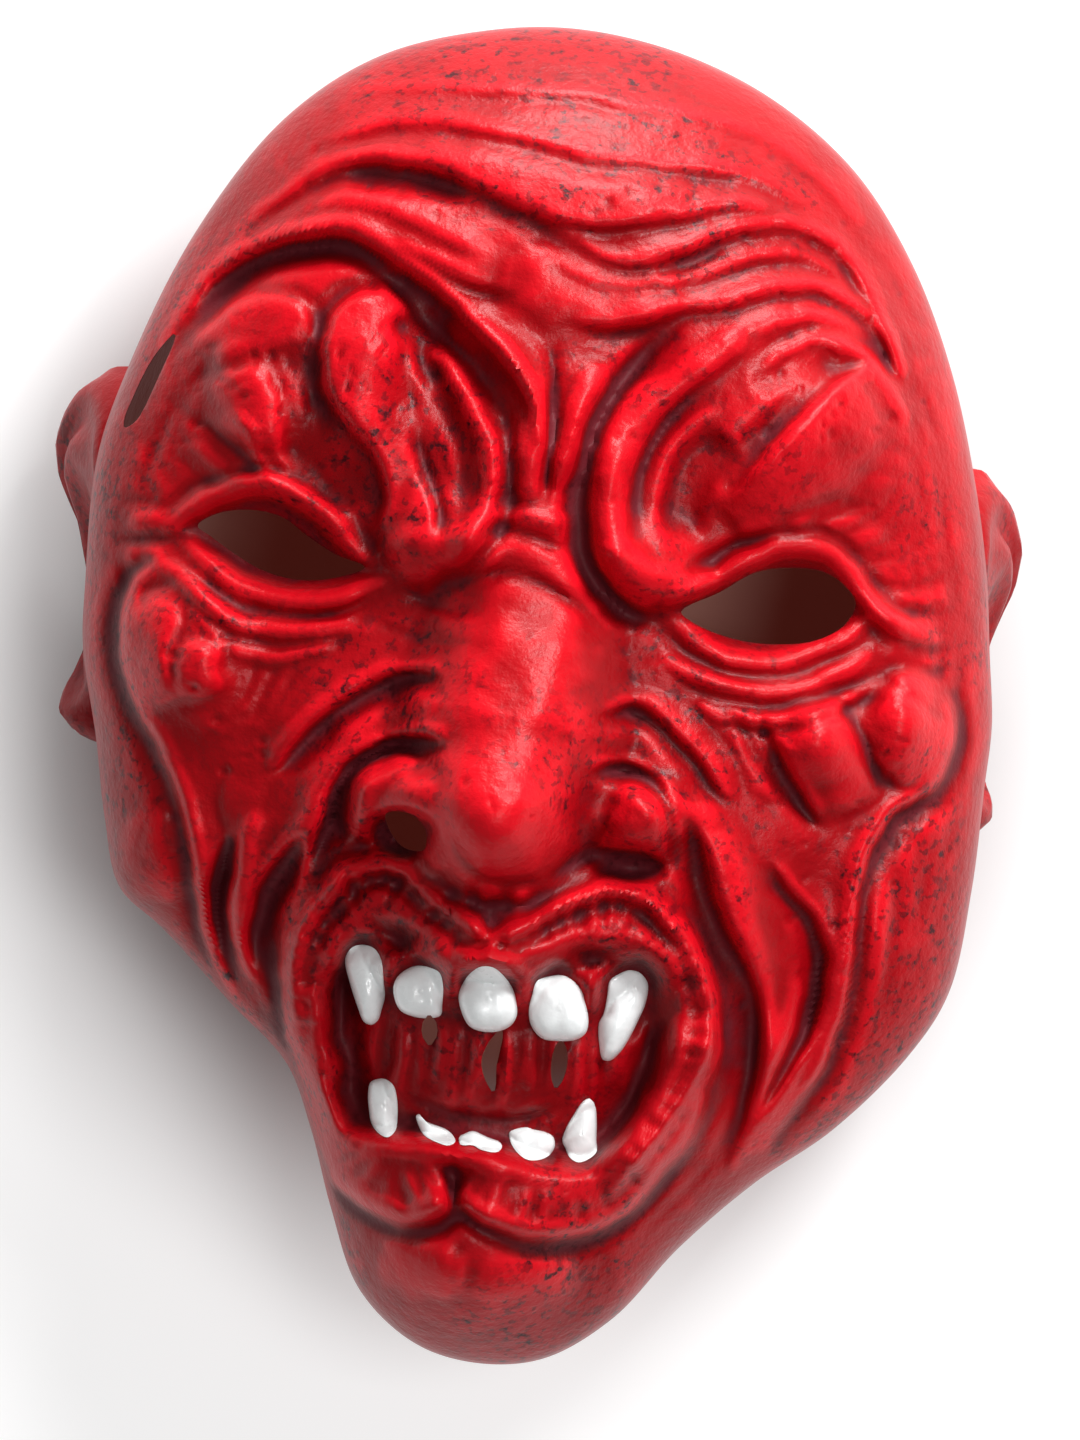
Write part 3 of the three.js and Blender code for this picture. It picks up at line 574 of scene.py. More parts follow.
@dataclass
class EyeSurrounds:
    """Lids, bags and crow's feet round the two cut eye holes."""

    left: tuple[Stroke, ...] = (
        roll(3.2, 4.6, (-74, 26.5), (-71, 30.5), (-65.4, 35.1), (-58.6, 38), (-52.7, 38), (-46.7, 35.6),
             (-41.7, 31.6), (-37, 27), (-32, 23.5)),
        crease(2, 2.2, (-76, 31), (-71, 36), (-64, 40.3), (-56, 41.8), (-49, 40.4), (-42.5, 36), (-37, 31)),
        roll(3.2, 4.2, (-71.5, 27.5), (-68, 24.5), (-63, 20.8), (-57, 17.8), (-49.3, 16.2), (-41, 16.8),
             (-35, 19.3), (-29, 22)),
        crease(2, 2.2, (-72, 23), (-66, 18), (-59, 14), (-50, 12.6), (-41, 13.4), (-33, 16.5)),
        roll(2.6, 2.2, (-77, 23), (-70, 19.5), (-65, 14.5), (-58, 11), (-50, 9.6), (-42, 10.6), (-35, 13)),
        crease(1.8, 1.8, (-76, 19), (-69, 14.5), (-62, 9.5), (-53, 6.8), (-44, 7.6), (-36, 10)),
        roll(2.2, 1.6, (-62, 7.6), (-54, 4.8), (-46, 5.4), (-39, 8)),
        crease(1.4, 1.2, (-58, 12.6), (-52, 10.4), (-45, 10.4), (-38, 12)),
        crease(1.4, 1.3, (-66, 12.4), (-61, 7.6), (-55, 5)),
        crease(1.4, 1.3, (-72, 15), (-68, 11), (-64, 6.4)),
        ridge(1.5, 1.2, (-70, 13.6), (-65, 10.4), (-60, 6.2)),
        crease(1.3, 1.1, (-56, 2.6), (-49, 2.8), (-42, 5.4)),
        crease(1.4, 1.2, (-52, 8), (-45, 8.4), (-38, 11.4), (-31, 14)),
        crease(1.3, 0.9, (-44, 14), (-38, 13), (-31, 15), (-24, 17.5)),
        crease(2.4, 2.4, (-84, 25), (-79, 26.4), (-75, 26.6), (-71, 26.4)),
        roll(2.6, 1.6, (-82, 29), (-77, 30), (-73, 29.6)),
        crease(1.6, 1.4, (-84, 33), (-79.5, 33.4), (-75, 32.6)),
        crease(1.6, 1.2, (-82.5, 41), (-79, 37), (-75.6, 34)),
        crease(1.5, 1.2, (-80, 49), (-77.5, 43), (-74, 38)),
        crease(1.5, 1.1, (-84, 18), (-80, 20.5), (-76, 22.5)),
        roll(2.4, 1.4, (-83, 21.6), (-78, 23), (-74, 23.6)),
        crease(2.2, 1.8, (-27, 20), (-21, 17.4), (-15, 16.6), (-9, 18)),
        crease(1.8, 1.2, (-33, 14), (-26, 11), (-18, 9.6), (-12, 11)),
    )
    right: tuple[Stroke, ...] = (
        roll(3.2, 4.6, (24, 21), (29, 23), (35.4, 26.8), (41.9, 30.5), (48.5, 33), (55.2, 33.4),
             (59.5, 31), (63.2, 26.7), (68.3, 21.7), (75.3, 18.8), (80, 19)),
        crease(2, 2.2, (28, 27.5), (35, 31), (41.5, 34.6), (48.5, 37), (56, 37.2), (62, 33.8),
               (66.5, 28.8), (72, 24.6)),
        roll(3.2, 4, (24, 18.8), (29, 16.8), (35, 13.4), (41, 11.8), (47, 11.6), (53.4, 12.9),
             (58.5, 15.4), (62.8, 19), (65.5, 22)),
        crease(2, 2.2, (23, 15.6), (28, 13), (34, 9.8), (41, 8.2), (48, 8), (55, 9.6), (61, 13), (66, 17)),
        roll(2.4, 2, (25, 11), (31, 7.6), (38, 5.6), (46, 5), (54, 6.4), (61, 10), (67, 14.5)),
        crease(1.8, 1.8, (24.5, 8.5), (31, 4.6), (38, 2.4), (46, 2), (54, 3.2), (62, 7), (69, 12)),
        roll(2.2, 1.8, (33, 1.6), (41, -0.4), (49, 0), (57, 2.4), (64, 6.4)),
        crease(1.8, 1.8, (36, -1.6), (44, -3), (52, -2), (60, 1.6), (67, 6.4), (74, 10)),
        crease(1.4, 1.2, (33, 9.4), (41, 6.8), (50, 6.4), (58, 8.4)),
        crease(1.3, 1, (38, 4.6), (46, 3.6), (54, 5)),
        crease(1.3, 1, (48, 4.2), (52, 7.4), (57, 9)),
        crease(1.4, 1.3, (30, 6.6), (36, 4), (43, 4.2), (49, 6)),
        crease(1.4, 1.3, (35, 0.8), (42, 0.6), (49, 2), (55, 5.4)),
        crease(1.3, 1.1, (44, 9.8), (49, 9.6), (55, 11.4), (60, 15)),
        crease(1.4, 1.4, (58, 6), (64, 8), (69, 10.6), (74, 14)),
        crease(1.4, 1.4, (62, 3.6), (68, 5.4), (74, 6.4)),
        ridge(1.5, 1.2, (60, 4.6), (66, 6.4), (72, 9), (77, 12.6)),
        ridge(1.5, 1.2, (70, 22), (75, 20.6), (80, 21)),
        ridge(1.5, 1.2, (70, 26), (76, 26), (81, 28.6)),
        crease(1.8, 1.6, (66, 20), (71, 17.6), (77, 16.2), (83, 16.6)),
        crease(1.6, 1.4, (67, 16.8), (72, 13.8), (78, 12), (84, 11.8)),
        crease(1.6, 1.4, (69, 13.4), (74, 10), (79, 7.8), (85, 7)),
        crease(1.5, 1.2, (70, 9.6), (75, 6.4), (80, 3.6), (85, 1.6)),
        crease(1.6, 1.2, (66, 24.6), (72, 23), (78, 23), (84, 24.6)),
        crease(1.5, 1.2, (65, 29), (71, 28.4), (77, 29.6), (82, 32.6)),
        crease(1.5, 1.2, (64, 32.6), (69, 33.6), (74, 36), (78, 40)),
        roll(2, 1.4, (69, 15), (75, 13), (81, 12.6)),
        roll(2, 1.4, (70, 11.6), (76, 8.8), (82, 7.6)),
        roll(2, 1.3, (68, 18.6), (74, 16.8), (81, 17.4)),
        crease(2, 1.8, (11, 19), (17, 16.4), (22, 15.6)),
        crease(1.6, 1.4, (14.6, 10.6), (19, 11.2), (24.4, 10)),
        crease(1.8, 1.2, (21, 13.6), (26, 9), (30, 3.4), (34, -1), (39, -6)),
        crease(1.5, 1, (28, 8), (31, 2), (36, -4), (41, -9.6), (44, -15)),
        ridge(1.8, 1, (22, 12), (27.6, 6.4), (32, 0.6), (37, -4.6)),
    )

    def strokes(self) -> list[Stroke]:
        """Every stroke round both eyes."""
        return [*self.left, *self.right]


@dataclass
class NoseFolds:
    """The flared wings of the nose and the snarl lines beside them."""

    folds: tuple[Stroke, ...] = (
        fold(8, 3.4, (-50, -18), (-44, -8.4), (-36.8, -1.6), (-29, 3), (-23, 4.6), (-18, 4.6)),
        fold(8.5, 4.2, (-43, -38), (-40.6, -28), (-38.5, -19), (-33, -12.4), (-26, -8.6), (-21, -7.6),
             (-16, -9)),
        roll(4.2, 1.8, (-18, -2.6), (-26, -2.4), (-33, -5.6), (-39, -11)),
        crease(1.6, 0.8, (-26, 8), (-34, 4.4), (-42, -1), (-49, -9), (-54, -17)),
        crease(1.5, 0.8, (-34, 9.6), (-43, 4), (-50, -3.4), (-55, -12)),
        fold(6, 3.2, (14, -1.4), (16, -0.2), (19.6, 1.2), (24.6, -0.2), (31.8, -6), (37, -11.6), (41, -17)),
        roll(4, 1.8, (14, -5.6), (21, -4.6), (28, -8.4), (34, -15), (38, -23)),
        fold(6, 3.4, (12, -12.6), (15, -11.2), (20, -10.8), (26, -13), (30, -18), (31.6, -24), (32.4, -31)),
        crease(1.8, 1.6, (26, 4.6), (33.5, 2.6), (40, -0.8), (43.6, -6), (48, -11.6), (52.8, -17),
               (57, -21.4)),
        crease(1.8, 1.2, (17, 6), (25, 4), (33, -1), (39, -7)),
        roll(3.6, 4.4, (-30.6, -30.5), (-32.4, -25), (-31, -19), (-26.8, -14.6), (-21, -13)),
        roll(2.2, 2.4, (-30, -29), (-26, -33), (-20, -34.4), (-14, -33)),
        crease(2.4, 2.6, (-35, -32), (-34.6, -25), (-33.4, -18), (-29, -12.6)),
        roll(4, 2.6, (12, -15), (19, -15.6), (25.4, -18.6), (28.6, -24), (27.6, -29)),
        crease(3, 3.4, (6, -34.6), (9.9, -32.2), (14, -29.4), (18.6, -28.8), (24.3, -29.6), (29, -32)),
        crease(2, 2.4, (-14.6, -22), (-13.6, -27), (-11.6, -31.6), (-6, -35.4), (-1, -36), (4, -35.6)),
        ridge(1.8, 1.2, (-13, -34), (-7, -38), (-1, -38.6), (6, -37), (14, -33.6), (22, -33.4),
              (29, -35.6)),
        crease(1.8, 1.4, (-17, -35), (-9, -40.4), (-2, -41), (8, -38.6), (18, -35.6)),
        roll(2.4, 1.8, (-5, -36), (-5.2, -40), (-4.4, -44)),
        crease(1.5, 1, (-8, -37), (-8.4, -41), (-7.4, -44)),
        crease(1.5, 1, (-2, -37), (-1.8, -41), (-2.2, -44)),
    )
    cheek_lines: tuple[Stroke, ...] = (
        fold(9, 4, (31, -17), (35, -23), (38.6, -31), (43, -41), (48, -49), (51, -58), (52, -68),
             (51, -78), (47, -90)),
        roll(6, 2.4, (34.4, -17), (40.4, -28), (47.4, -41), (53, -52), (54.6, -63), (53.4, -75), (49, -87)),
        groove(3.4, 1.8, (33.4, -31), (37.4, -42), (42, -52), (44.6, -62), (43.6, -73), (40, -84)),
        fold(6, 3.4, (50, -28), (54.7, -33.4), (59.7, -38.3), (62.4, -44.4), (63.6, -50.3),
             (62.4, -57.4), (60.8, -63), (57, -71.6), (50.8, -82)),
        groove(4, 6.5, (-42, -30), (-46, -38), (-49, -45), (-49.4, -54), (-47.6, -63), (-44.4, -72),
               (-40, -82)),
        roll(4, 3.6, (-52, -26), (-54.6, -36), (-54.6, -47), (-53, -56), (-49, -65), (-44, -75)),
        groove(2.8, 7, (-57, -31), (-58.4, -38), (-58.8, -46), (-56.8, -53), (-53.4, -60), (-49, -68)),
        ridge(2.4, 1.4, (-41, -22), (-43.4, -28), (-47, -34), (-50.4, -41), (-51.4, -50)),
    )

    def strokes(self) -> list[Stroke]:
        """Every stroke of the nose and the lines that run down from it."""
        return [*self.folds, *self.cheek_lines]


@dataclass
class Cheeks:
    """Cheekbone lumps, sagging jowls and the sharp edges where the cheeks turn to the sides."""

    left: tuple[Stroke, ...] = (
        fold(7, 3.8, (-74, 22), (-79.5, 17.8), (-81.4, 8), (-79.7, -0.9), (-75.7, -8.8), (-70.9, -16.8),
             (-66.8, -25.4), (-64, -34.2), (-62.5, -42.3), (-60, -51), (-56, -60), (-51, -67)),
        roll(6.5, 4, (-74, 15), (-76, 8.5), (-74, 1), (-70, -6)),
        roll(5.5, 3.4, (-65, 7), (-65.6, 2), (-63.6, -4)),
        crease(2.4, 2.4, (-70, 14), (-70, 9), (-71.4, 3), (-70, -3)),
        crease(1.8, 1.4, (-60, 10), (-60, 5), (-61, -1)),
        crease(1.8, 1.2, (-54, 5), (-55, 0), (-57, -6)),
        crease(1.6, 1, (-50, 4), (-52, -2), (-54.6, -9)),
        ridge(1.6, 1, (-52, 4), (-54, -2), (-57, -8)),
        ridge(1.6, 1, (-47.6, 2), (-50.4, -4), (-54, -11)),
        crease(1.5, 1.1, (-57, 3), (-58.4, -3), (-61, -9)),
        crease(1.5, 0.9, (-46, 3), (-50, -6), (-55, -15)),
        crease(2, 1, (-46, -14), (-50, -21), (-52.6, -29)),
        crease(2.2, 1.2, (-60, -18), (-60, -26), (-58, -32)),
        crease(2.4, 1.6, (-72, 18.6), (-77, 16), (-79.6, 10)),
        crease(1.8, 0.8, (-72, -22), (-74, -30), (-76, -38)),
        roll(9, 1.8, (-72, -26), (-72, -36), (-68, -46)),
    )
    right: tuple[Stroke, ...] = (
        roll(9.5, 3.6, (54, 1), (59, -5), (63, -11), (66, -17)),
        roll(9, 3.8, (70, 8), (75, 2), (75.5, -5), (72, -10)),
        crease(3, 3.6, (60.4, 6.4), (62, 3), (66, -2.4), (69, -8), (70.6, -13)),
        crease(2, 1.8, (47, -4), (50, -10), (54.6, -17), (60, -22)),
        crease(1.8, 1.4, (42, -6), (46, -13), (50, -20)),
        roll(2.2, 1.6, (40, -2), (44, -9), (48.4, -16)),
        fold(7, 3.4, (53, -86), (59, -75), (63.3, -65.8), (66.2, -55.5), (66.4, -44), (66.2, -33),
             (68.6, -24.7), (73.3, -16.4), (80.4, -11), (83.4, -4), (84, 2), (82.4, 8)),
        fold(4.5, 2, (45, 2), (50, -6), (55, -14), (59, -20)),
        roll(2.4, 1.6, (42.6, 1), (45, -3), (48.4, -8)),
        roll(5, 2, (70, -26), (70, -40), (69.6, -54), (66, -68), (59, -84)),
        crease(1.8, 1, (74, -18), (75, -30), (75.4, -42), (74, -54)),
        crease(1.6, 0.8, (78, -16), (80, -28), (80, -40)),
        roll(4, 1.6, (50, -34), (55, -41), (57.4, -50), (57, -61), (53.4, -73)),
    )

    def strokes(self) -> list[Stroke]:
        """Every stroke of both cheeks."""
        return [*self.left, *self.right]


@dataclass
class Temples:
    """Fine wrinkles that run down the sides of the head, drawn by a loop.

    Lengths are in samples of the edge; spread and drift are in millimetres across it.
    """

    seed: int = 11
    count: int = 26
    shortest: int = 16
    longest: int = 34
    spacing: int = 8
    spread: Point = (-7, 4)
    drift: float = 2
    left_edge: tuple[Point, ...] = ((-83, 8), (-84, 25), (-81, 45), (-75, 65), (-63, 86), (-49, 103))
    right_edge: tuple[Point, ...] = (
        (80, -40), (82, -20), (83, 2), (82, 24), (79, 45), (73, 64), (64, 82), (54, 99))

    def strokes(self) -> list[Stroke]:
        """Short creases strewn beside both edges, each nearly along the edge.

        Returns:
            The creases.
        """
        rng = np.random.default_rng(self.seed)
        strokes = []
        for edge in (self.left_edge, self.right_edge):
            line = smooth_line(edge, steps=20)
            for _ in range(self.count):
                start = int(rng.integers(0, len(line) - self.longest))
                part = line[start:start + int(rng.integers(self.shortest, self.longest)):self.spacing]
                shift = rng.uniform(*self.spread) * np.sign(edge[0][0])
                ends = [rng.uniform(-self.drift, self.drift) for _ in range(2)]
                drift = np.linspace(*ends, len(part))
                points = tuple((float(x + shift + d), float(y)) for (x, y), d in zip(part, drift))
                strokes.append(crease(rng.uniform(1.2, 2), rng.uniform(0.8, 1.7), *points, fade=0.4))
        return strokes


@dataclass
class Mouth:
    """The snarling mouth: ribbed lips round a sunk floor with gums and dripping folds.

    Each pair for the ribs is the least and the most of a random draw; gaps are in samples of the
    lip's line.
    """

    depth: float = 13
    slope: float = 6.5
    lip_reach: float = 9.5
    lip_fade: float = 5
    lip_shade: float = 0.5
    seed: int = 5
    rib_reaches: Point = (2.5, 6)
    rib_half_widths: Point = (1.8, 2.6)
    rib_depths: Point = (1.6, 3.4)
    rib_gaps: Point = (2.4, 4.6)
    edge: tuple[Point, ...] = (
        (-37, -52), (-34, -46), (-28, -43.5), (-20, -44.5), (-12, -49.5), (-3, -51.5), (6, -48),
        (17, -44.5), (27, -45.5), (33, -51), (35.5, -62), (33, -76), (28, -86), (21, -93), (11, -94),
        (1, -92.5), (-8, -91), (-20, -91.5), (-29, -90.5), (-34.5, -84), (-37.5, -73), (-38.5, -62))
    upper_lip: tuple[Point, ...] = (
        (-40, -62), (-41, -54), (-38.5, -46), (-33, -40.5), (-26, -39), (-19, -41), (-12, -45.5),
        (-3, -48.5), (5, -45.5), (12, -42), (20, -40.5), (27, -41.5), (33, -46.5), (37, -53), (38, -62))
    lower_lip: tuple[Point, ...] = (
        (38, -60), (37, -71), (33.5, -80), (29, -88), (23, -95), (15, -98.5), (7, -99), (0, -97.5),
        (-5, -95.5))
    lower_left_lip: tuple[Point, ...] = (
        (-40, -60), (-39.5, -70), (-36.5, -80), (-32, -89), (-27, -95.5), (-20, -98.5), (-14, -98),
        (-9.5, -94.5))

    def rims(self) -> list[Stroke]:
        """The lips' rolls and the lines that bound them.

        Returns:
            The strokes.
        """
        return [
            roll(5, 2.4, *self.upper_lip, fade=0.06),
            roll(7.4, 6, *self.lower_lip, fade=0.08),
            roll(7.4, 6, *self.lower_left_lip, fade=0.08),
            ridge(3.4, 5, (-31, -89), (-36, -80.6), (-40.6, -71), (-42.2, -64), (-43, -57),
                  (-41.2, -48.4), (-36.9, -40.7), (-31.2, -35.6), (-25.1, -34.8), (-19.3, -37.8),
                  (-12.9, -42.2), (-7.7, -45.5), (-2.7, -46.6), (2.1, -44.6), (7.3, -40.6),
                  (13.2, -37.7), (19.8, -36), (25.4, -37.4), (31.3, -41.8), (36.1, -47.6),
                  (39.5, -54.5), (40.4, -62), (39.4, -69), (36.3, -76), (32.5, -82.6), (28.4, -89),
                  (23, -96), fade=0.06),
            ridge(3.4, 4.2, (-31.5, -95.6), (-25, -100.4), (-16.7, -103), (-12, -101.4),
                  (-8.5, -98.4), fade=0.1),
            ridge(3.4, 4.2, (-7, -98.6), (-2, -101.4), (3, -103.4), (9, -104.6), (15.3, -104.3),
                  (22, -101.6), (27, -97.8), (32.6, -90), (37.5, -82), (40.6, -74), fade=0.1),
            groove(2.6, 2.6, (-38.6, -50), (-34, -42.6), (-29, -38.6), (-24, -38.4), (-18, -41.4),
                   (-11, -46)),
            groove(2.4, 2.4, (3, -47), (9, -43), (15, -40.4), (21, -39.2), (27, -41), (32.6, -46)),
            crease(2.2, 2, (-46, -62), (-46.6, -52), (-43.6, -43), (-37.6, -35.6), (-30, -31.8),
                   (-23, -32), (-16, -35.4)),
            crease(2, 1.8, (4, -40), (12, -34.8), (20, -33), (28, -34.2), (35, -40), (39.6, -47),
                   (43, -57), (43.6, -67), (40.8, -77), (36, -86)),
            crease(4.2, 3, (-44, -66), (-43, -78), (-38.5, -89), (-31.5, -99.4), (-24, -105.4),
                   (-16, -107.6), (-10, -105.4), (-6, -103), (1, -106.4), (8, -108.4), (16, -108),
                   (24, -104.6), (31, -98), (38, -87)),
            crease(3.4, 3.4, (-7.6, -91), (-7.8, -97), (-7.6, -102), fade=0.3),
            crease(2.6, 3.2, (-4.5, -38), (-4.8, -43), (-4.2, -48), fade=0.3),
            roll(2.4, 1.8, (-11, -38), (-8.5, -43), (-6.5, -47)),
            roll(2.4, 1.8, (2, -37), (0, -42), (-2, -47)),
        ]

    def ribs(self) -> list[Stroke]:
        """Short creases that cross the lips, spaced by a jittered step along them.

        Returns:
            The creases.
        """
        rng = np.random.default_rng(self.seed)
        strokes = []
        for lip in (self.upper_lip, self.lower_lip, self.lower_left_lip):
            line = smooth_line(lip, steps=10)
            slope = np.gradient(line, axis=0)
            normal = np.stack([-slope[:, 1], slope[:, 0]], 1) / np.linalg.norm(slope, axis=1)[:, None]
            place = 3.0
            while place < len(line) - 3:
                middle, across = line[int(place)], normal[int(place)]
                tilt = slope[int(place)] * rng.uniform(-0.8, 0.8)
                start = middle - across * rng.uniform(*self.rib_reaches)
                end = middle + across * rng.uniform(*self.rib_reaches) + tilt
                half_width, depth = rng.uniform(*self.rib_half_widths), rng.uniform(*self.rib_depths)
                strokes.append(crease(half_width, depth, tuple(start), tuple(end), fade=0.4))
                place += rng.uniform(*self.rib_gaps)
        return strokes

    def membrane(self) -> list[Stroke]:
        """Gum arches over the upper teeth and the folds that hang between the two rows.

        Returns:
            The strokes.
        """
        arches = [
            roll(2.5, 3.4, (-35, -60), (-34.5, -52), (-29, -48), (-24, -51), (-23, -57)),
            roll(2.4, 3.4, (-24.5, -60), (-23.5, -54.5), (-17.5, -51.2), (-11.5, -54), (-10.8, -60)),
            roll(2.4, 3.4, (-11.2, -60), (-9.4, -53), (-3.5, -50.4), (2.2, -54), (3.2, -60)),
            roll(2.4, 3.4, (3, -61), (4.5, -54), (10.5, -51), (16.4, -55), (17.6, -61)),
            roll(2.5, 3.4, (17.2, -60), (17.5, -53), (23, -49.2), (29.5, -52), (29.5, -60), (26, -68)),
        ]
        rng = np.random.default_rng(self.seed + 1)
        drips = []
        for x in np.arange(-31, 28, 3.1):
            foot = rng.uniform(-84, -76)
            sway = rng.uniform(-1.6, 1.6)
            half_width, rise = rng.uniform(1.3, 2), rng.uniform(1.2, 2.6)
            drips.append(roll(half_width, rise, (x, -64), (x + sway, -70), (x, foot), fade=0.3))
        floor = [
            roll(9, 5, (-33, -58), (-27, -52), (-18, -53.5), (-8, -56), (0, -56.5), (9, -55),
                 (18, -52.5), (26, -52), (31, -58), fade=0.12),
            roll(4, 3.4, (-31, -80), (-24, -88), (-12, -90), (0, -91), (12, -91), (22, -88), (29, -80)),
            crease(3, 3, (-18, -80), (-8, -83), (4, -83), (13, -80)),
            roll(3, 2.6, (31, -56), (32, -66), (30, -76), (26, -84)),
            roll(3, 2.6, (-35, -58), (-34.5, -70), (-31, -80)),
            crease(2, 2, (28.5, -58), (28.5, -68), (26, -78)),
        ]
        return [*arches, *drips, *floor]

    def sink(self, raster: Raster) -> np.ndarray:
        """Lowers the floor: depth times the smoothstep of the distance from the mouth's edge.

        Args:
            raster: Raster that the mouth is sunk in.

        Returns:
            How dark each cell is painted: lip_shade over the lips, rising to 1 on the mouth's floor, where it
                is a painted shade.
        """
        loop = smooth_line(self.edge, closed=True)
        ruler = Stroke(Section.ROLL, self.lip_reach, 1, tuple(map(tuple, loop)))
        away = np.full(raster.height.shape, np.inf)
        window, near, _, _ = ruler.near(raster)
        away[window] = near
        inside = raster.inside(loop)
        deep = np.where(inside, smoothstep(0, self.slope, away), 0)
        raster.height -= self.depth * deep
        # Painted shade on the sunk floor; the lips darken by lip_shade.
        lips = np.where(inside, 1, smoothstep(self.lip_reach, self.lip_reach - self.lip_fade, away))
        return (1 - self.lip_shade) * deep + self.lip_shade * lips

    def strokes(self) -> list[Stroke]:
        """Every stroke of the mouth."""
        return [*self.rims(), *self.ribs(), *self.membrane()]


@dataclass
class Chin:
    """The jutting chin: two bosses under a deep groove."""

    def strokes(self) -> list[Stroke]:
        """The bosses' folds and the puckers round them.

        Returns:
            The strokes.
        """
        return [
            roll(7, 2.6, (-22, -112), (-12, -114), (-4, -113)),
            roll(7, 2.2, (-2, -115), (8, -115), (18, -112)),
            crease(2.4, 1.6, (-6, -108), (-6.5, -114), (-5, -119)),
            crease(1.8, 1.2, (-24, -108), (-20, -112), (-18, -117)),
            crease(1.6, 1, (-16, -117), (-8, -119.5), (2, -119.5), (11, -118)),
            crease(1.6, 1, (20, -107), (24, -112), (24, -118)),
            crease(2, 1.4, (30, -104), (36, -98), (42, -90), (46, -82)),
        ]


@dataclass
class Pits:
    """Small dents and blisters that the mould left in the latex.

    A field is the x and y of its middle, its reach across and up, and how many dents it has.
    """

    seed: int = 21
    sizes: Point = (0.8, 1.7)
    depths: Point = (-0.9, 0.1)
    fields: tuple[tuple[float, float, float, float, int], ...] = (
        (-40, 66, 12, 16, 60), (-60, 56, 16, 14, 40), (54, 60, 18, 16, 50), (-40, 100, 30, 9, 36),
        (40, 86, 30, 14, 60), (-66, -4, 14, 18, 34), (14, 45, 5, 14, 12), (-12, 44, 5, 16, 12),
        (66, -10, 18, 18, 30), (-2, -10, 14, 18, 16), (10, 100, 50, 12, 50), (60, -60, 14, 26, 26))

    def stamp(self, raster: Raster) -> None:
        """Adds each field's dents: depth times (1 - q^2)^2, strewn as a normal cloud round its middle.

        Args:
            raster: Raster that is dented.
        """
        rng = np.random.default_rng(self.seed)
        for x, y, across, up, count in self.fields:
            for _ in range(count):
                place = np.array([rng.normal(x, across * 0.55), rng.normal(y, up * 0.55)])
                size = rng.uniform(*self.sizes)
                depth = rng.uniform(*self.depths)
                window = raster.window(place - size, place + size)
                px, py = raster.places(*window)
                q = ((px - place[0]) ** 2 + (py - place[1]) ** 2) / size**2
                raster.height[window] += depth * np.clip(1 - q, 0, 1) ** 2


class Sculpture:
    """All the carving as rasters, and the finished height at any place.

    Blurs and reaches are in cells. A blur less the face itself is positive where the face is
    hollow, which tells the latex where its dark wash settles and where a painted shade deepens
    its red; where it is negative, on convex tops, a painted highlight pales the red. The inside
    follows the lowest carving near each place, so that no groove cuts through the wall.
    """

    stroke_blur: int = 1
    fine_blur: int = 3
    wide_blur: int = 9
    broad_blur: int = 5
    groove_reach: int = 7
    groove_blur: int = 2
    slope_reach: float = 1.5
    steepest: float = 2.2
    skin_lumps: tuple[tuple[float, float, int], ...] = ((0.35, 9, 1), (0.16, 4, 2), (0.06, 1.8, 3))

    def __init__(self) -> None:
        """Stamps every region on the raster and works out where the dark wash, painted shade and painted
        highlight go.
        """
        self.form = HeadForm()
        self.raster = Raster()
        raster = self.raster
        for mound in self.form.masses:
            mound.stamp(raster)
        self.form.nose_ridge(raster)
        self.mouth = Mouth()
        # The mouth's darkening: a painted shade on its sunk floor, less over the lips.
        self.deep = self.mouth.sink(raster)
        self.broad = raster.height.copy()
        raster.height = np.zeros_like(self.broad)
        for region in (Forehead(), Brows(), EyeSurrounds(), NoseFolds(), Cheeks(), Temples(),
                       self.mouth, Chin()):
            strokes = region.strokes()
            for stroke in strokes:
                stroke.stamp(raster)
            LOG.info("%s: %d strokes", type(region).__name__, len(strokes))
        raster.height = blurred(raster.height, self.stroke_blur)
        Pits().stamp(raster)
        for rise, size, seed in self.skin_lumps:
            raster.height += rise * raster.lumps(size, seed)
        self.carving = raster.height
        whole = self.broad + self.carving
        self.fine_hollow = blurred(whole, self.fine_blur) - whole
        self.wide_hollow = blurred(whole, self.wide_blur) - whole
        low_carving = blurred(lowest(self.carving, self.groove_reach), self.groove_blur)
        self.smooth = blurred(self.broad, self.broad_blur) + low_carving

    def height(self, x: np.ndarray, y: np.ndarray) -> np.ndarray:
        """Height of the face: the dome, the masses and the carving, which dies away at the edge.

        Args:
            x: Places across.
            y: Places up.

        Returns:
            A height for each place.
        """
        share = self.form.share(x, y)
        broad = self.raster.sample(self.broad, x, y)
        carving = self.raster.sample(self.carving, x, y)
        return self.form.dome(share) + broad + carving * self.form.relief_left(share)

    def inner(self, x: np.ndarray, y: np.ndarray, latex: float) -> np.ndarray:
        """Height of the inside: the blurred face less the latex, measured square to the slope.

        Args:
            x: Places across.
            y: Places up.
            latex: Thickness of the wall.

        Returns:
            Heights of the inner skin, never above the face less the latex.
        """

        def blunt(px: np.ndarray, py: np.ndarray) -> np.ndarray:
            """Height of the blurred face."""
            share = self.form.share(px, py)
            relief = self.raster.sample(self.smooth, px, py) * self.form.relief_left(share)
            return self.form.dome(share) + relief

        reach = self.slope_reach
        across = (blunt(x + reach, y) - blunt(x - reach, y)) / (2 * reach)
        up = (blunt(x, y + reach) - blunt(x, y - reach)) / (2 * reach)
        slope = np.minimum(np.sqrt(1 + across**2 + up**2), self.steepest)
        return np.minimum(blunt(x, y), self.height(x, y)) - latex * slope


class Ear(Enum):
    """Which side of the head an ear is on."""

    LEFT = -1
    RIGHT = 1


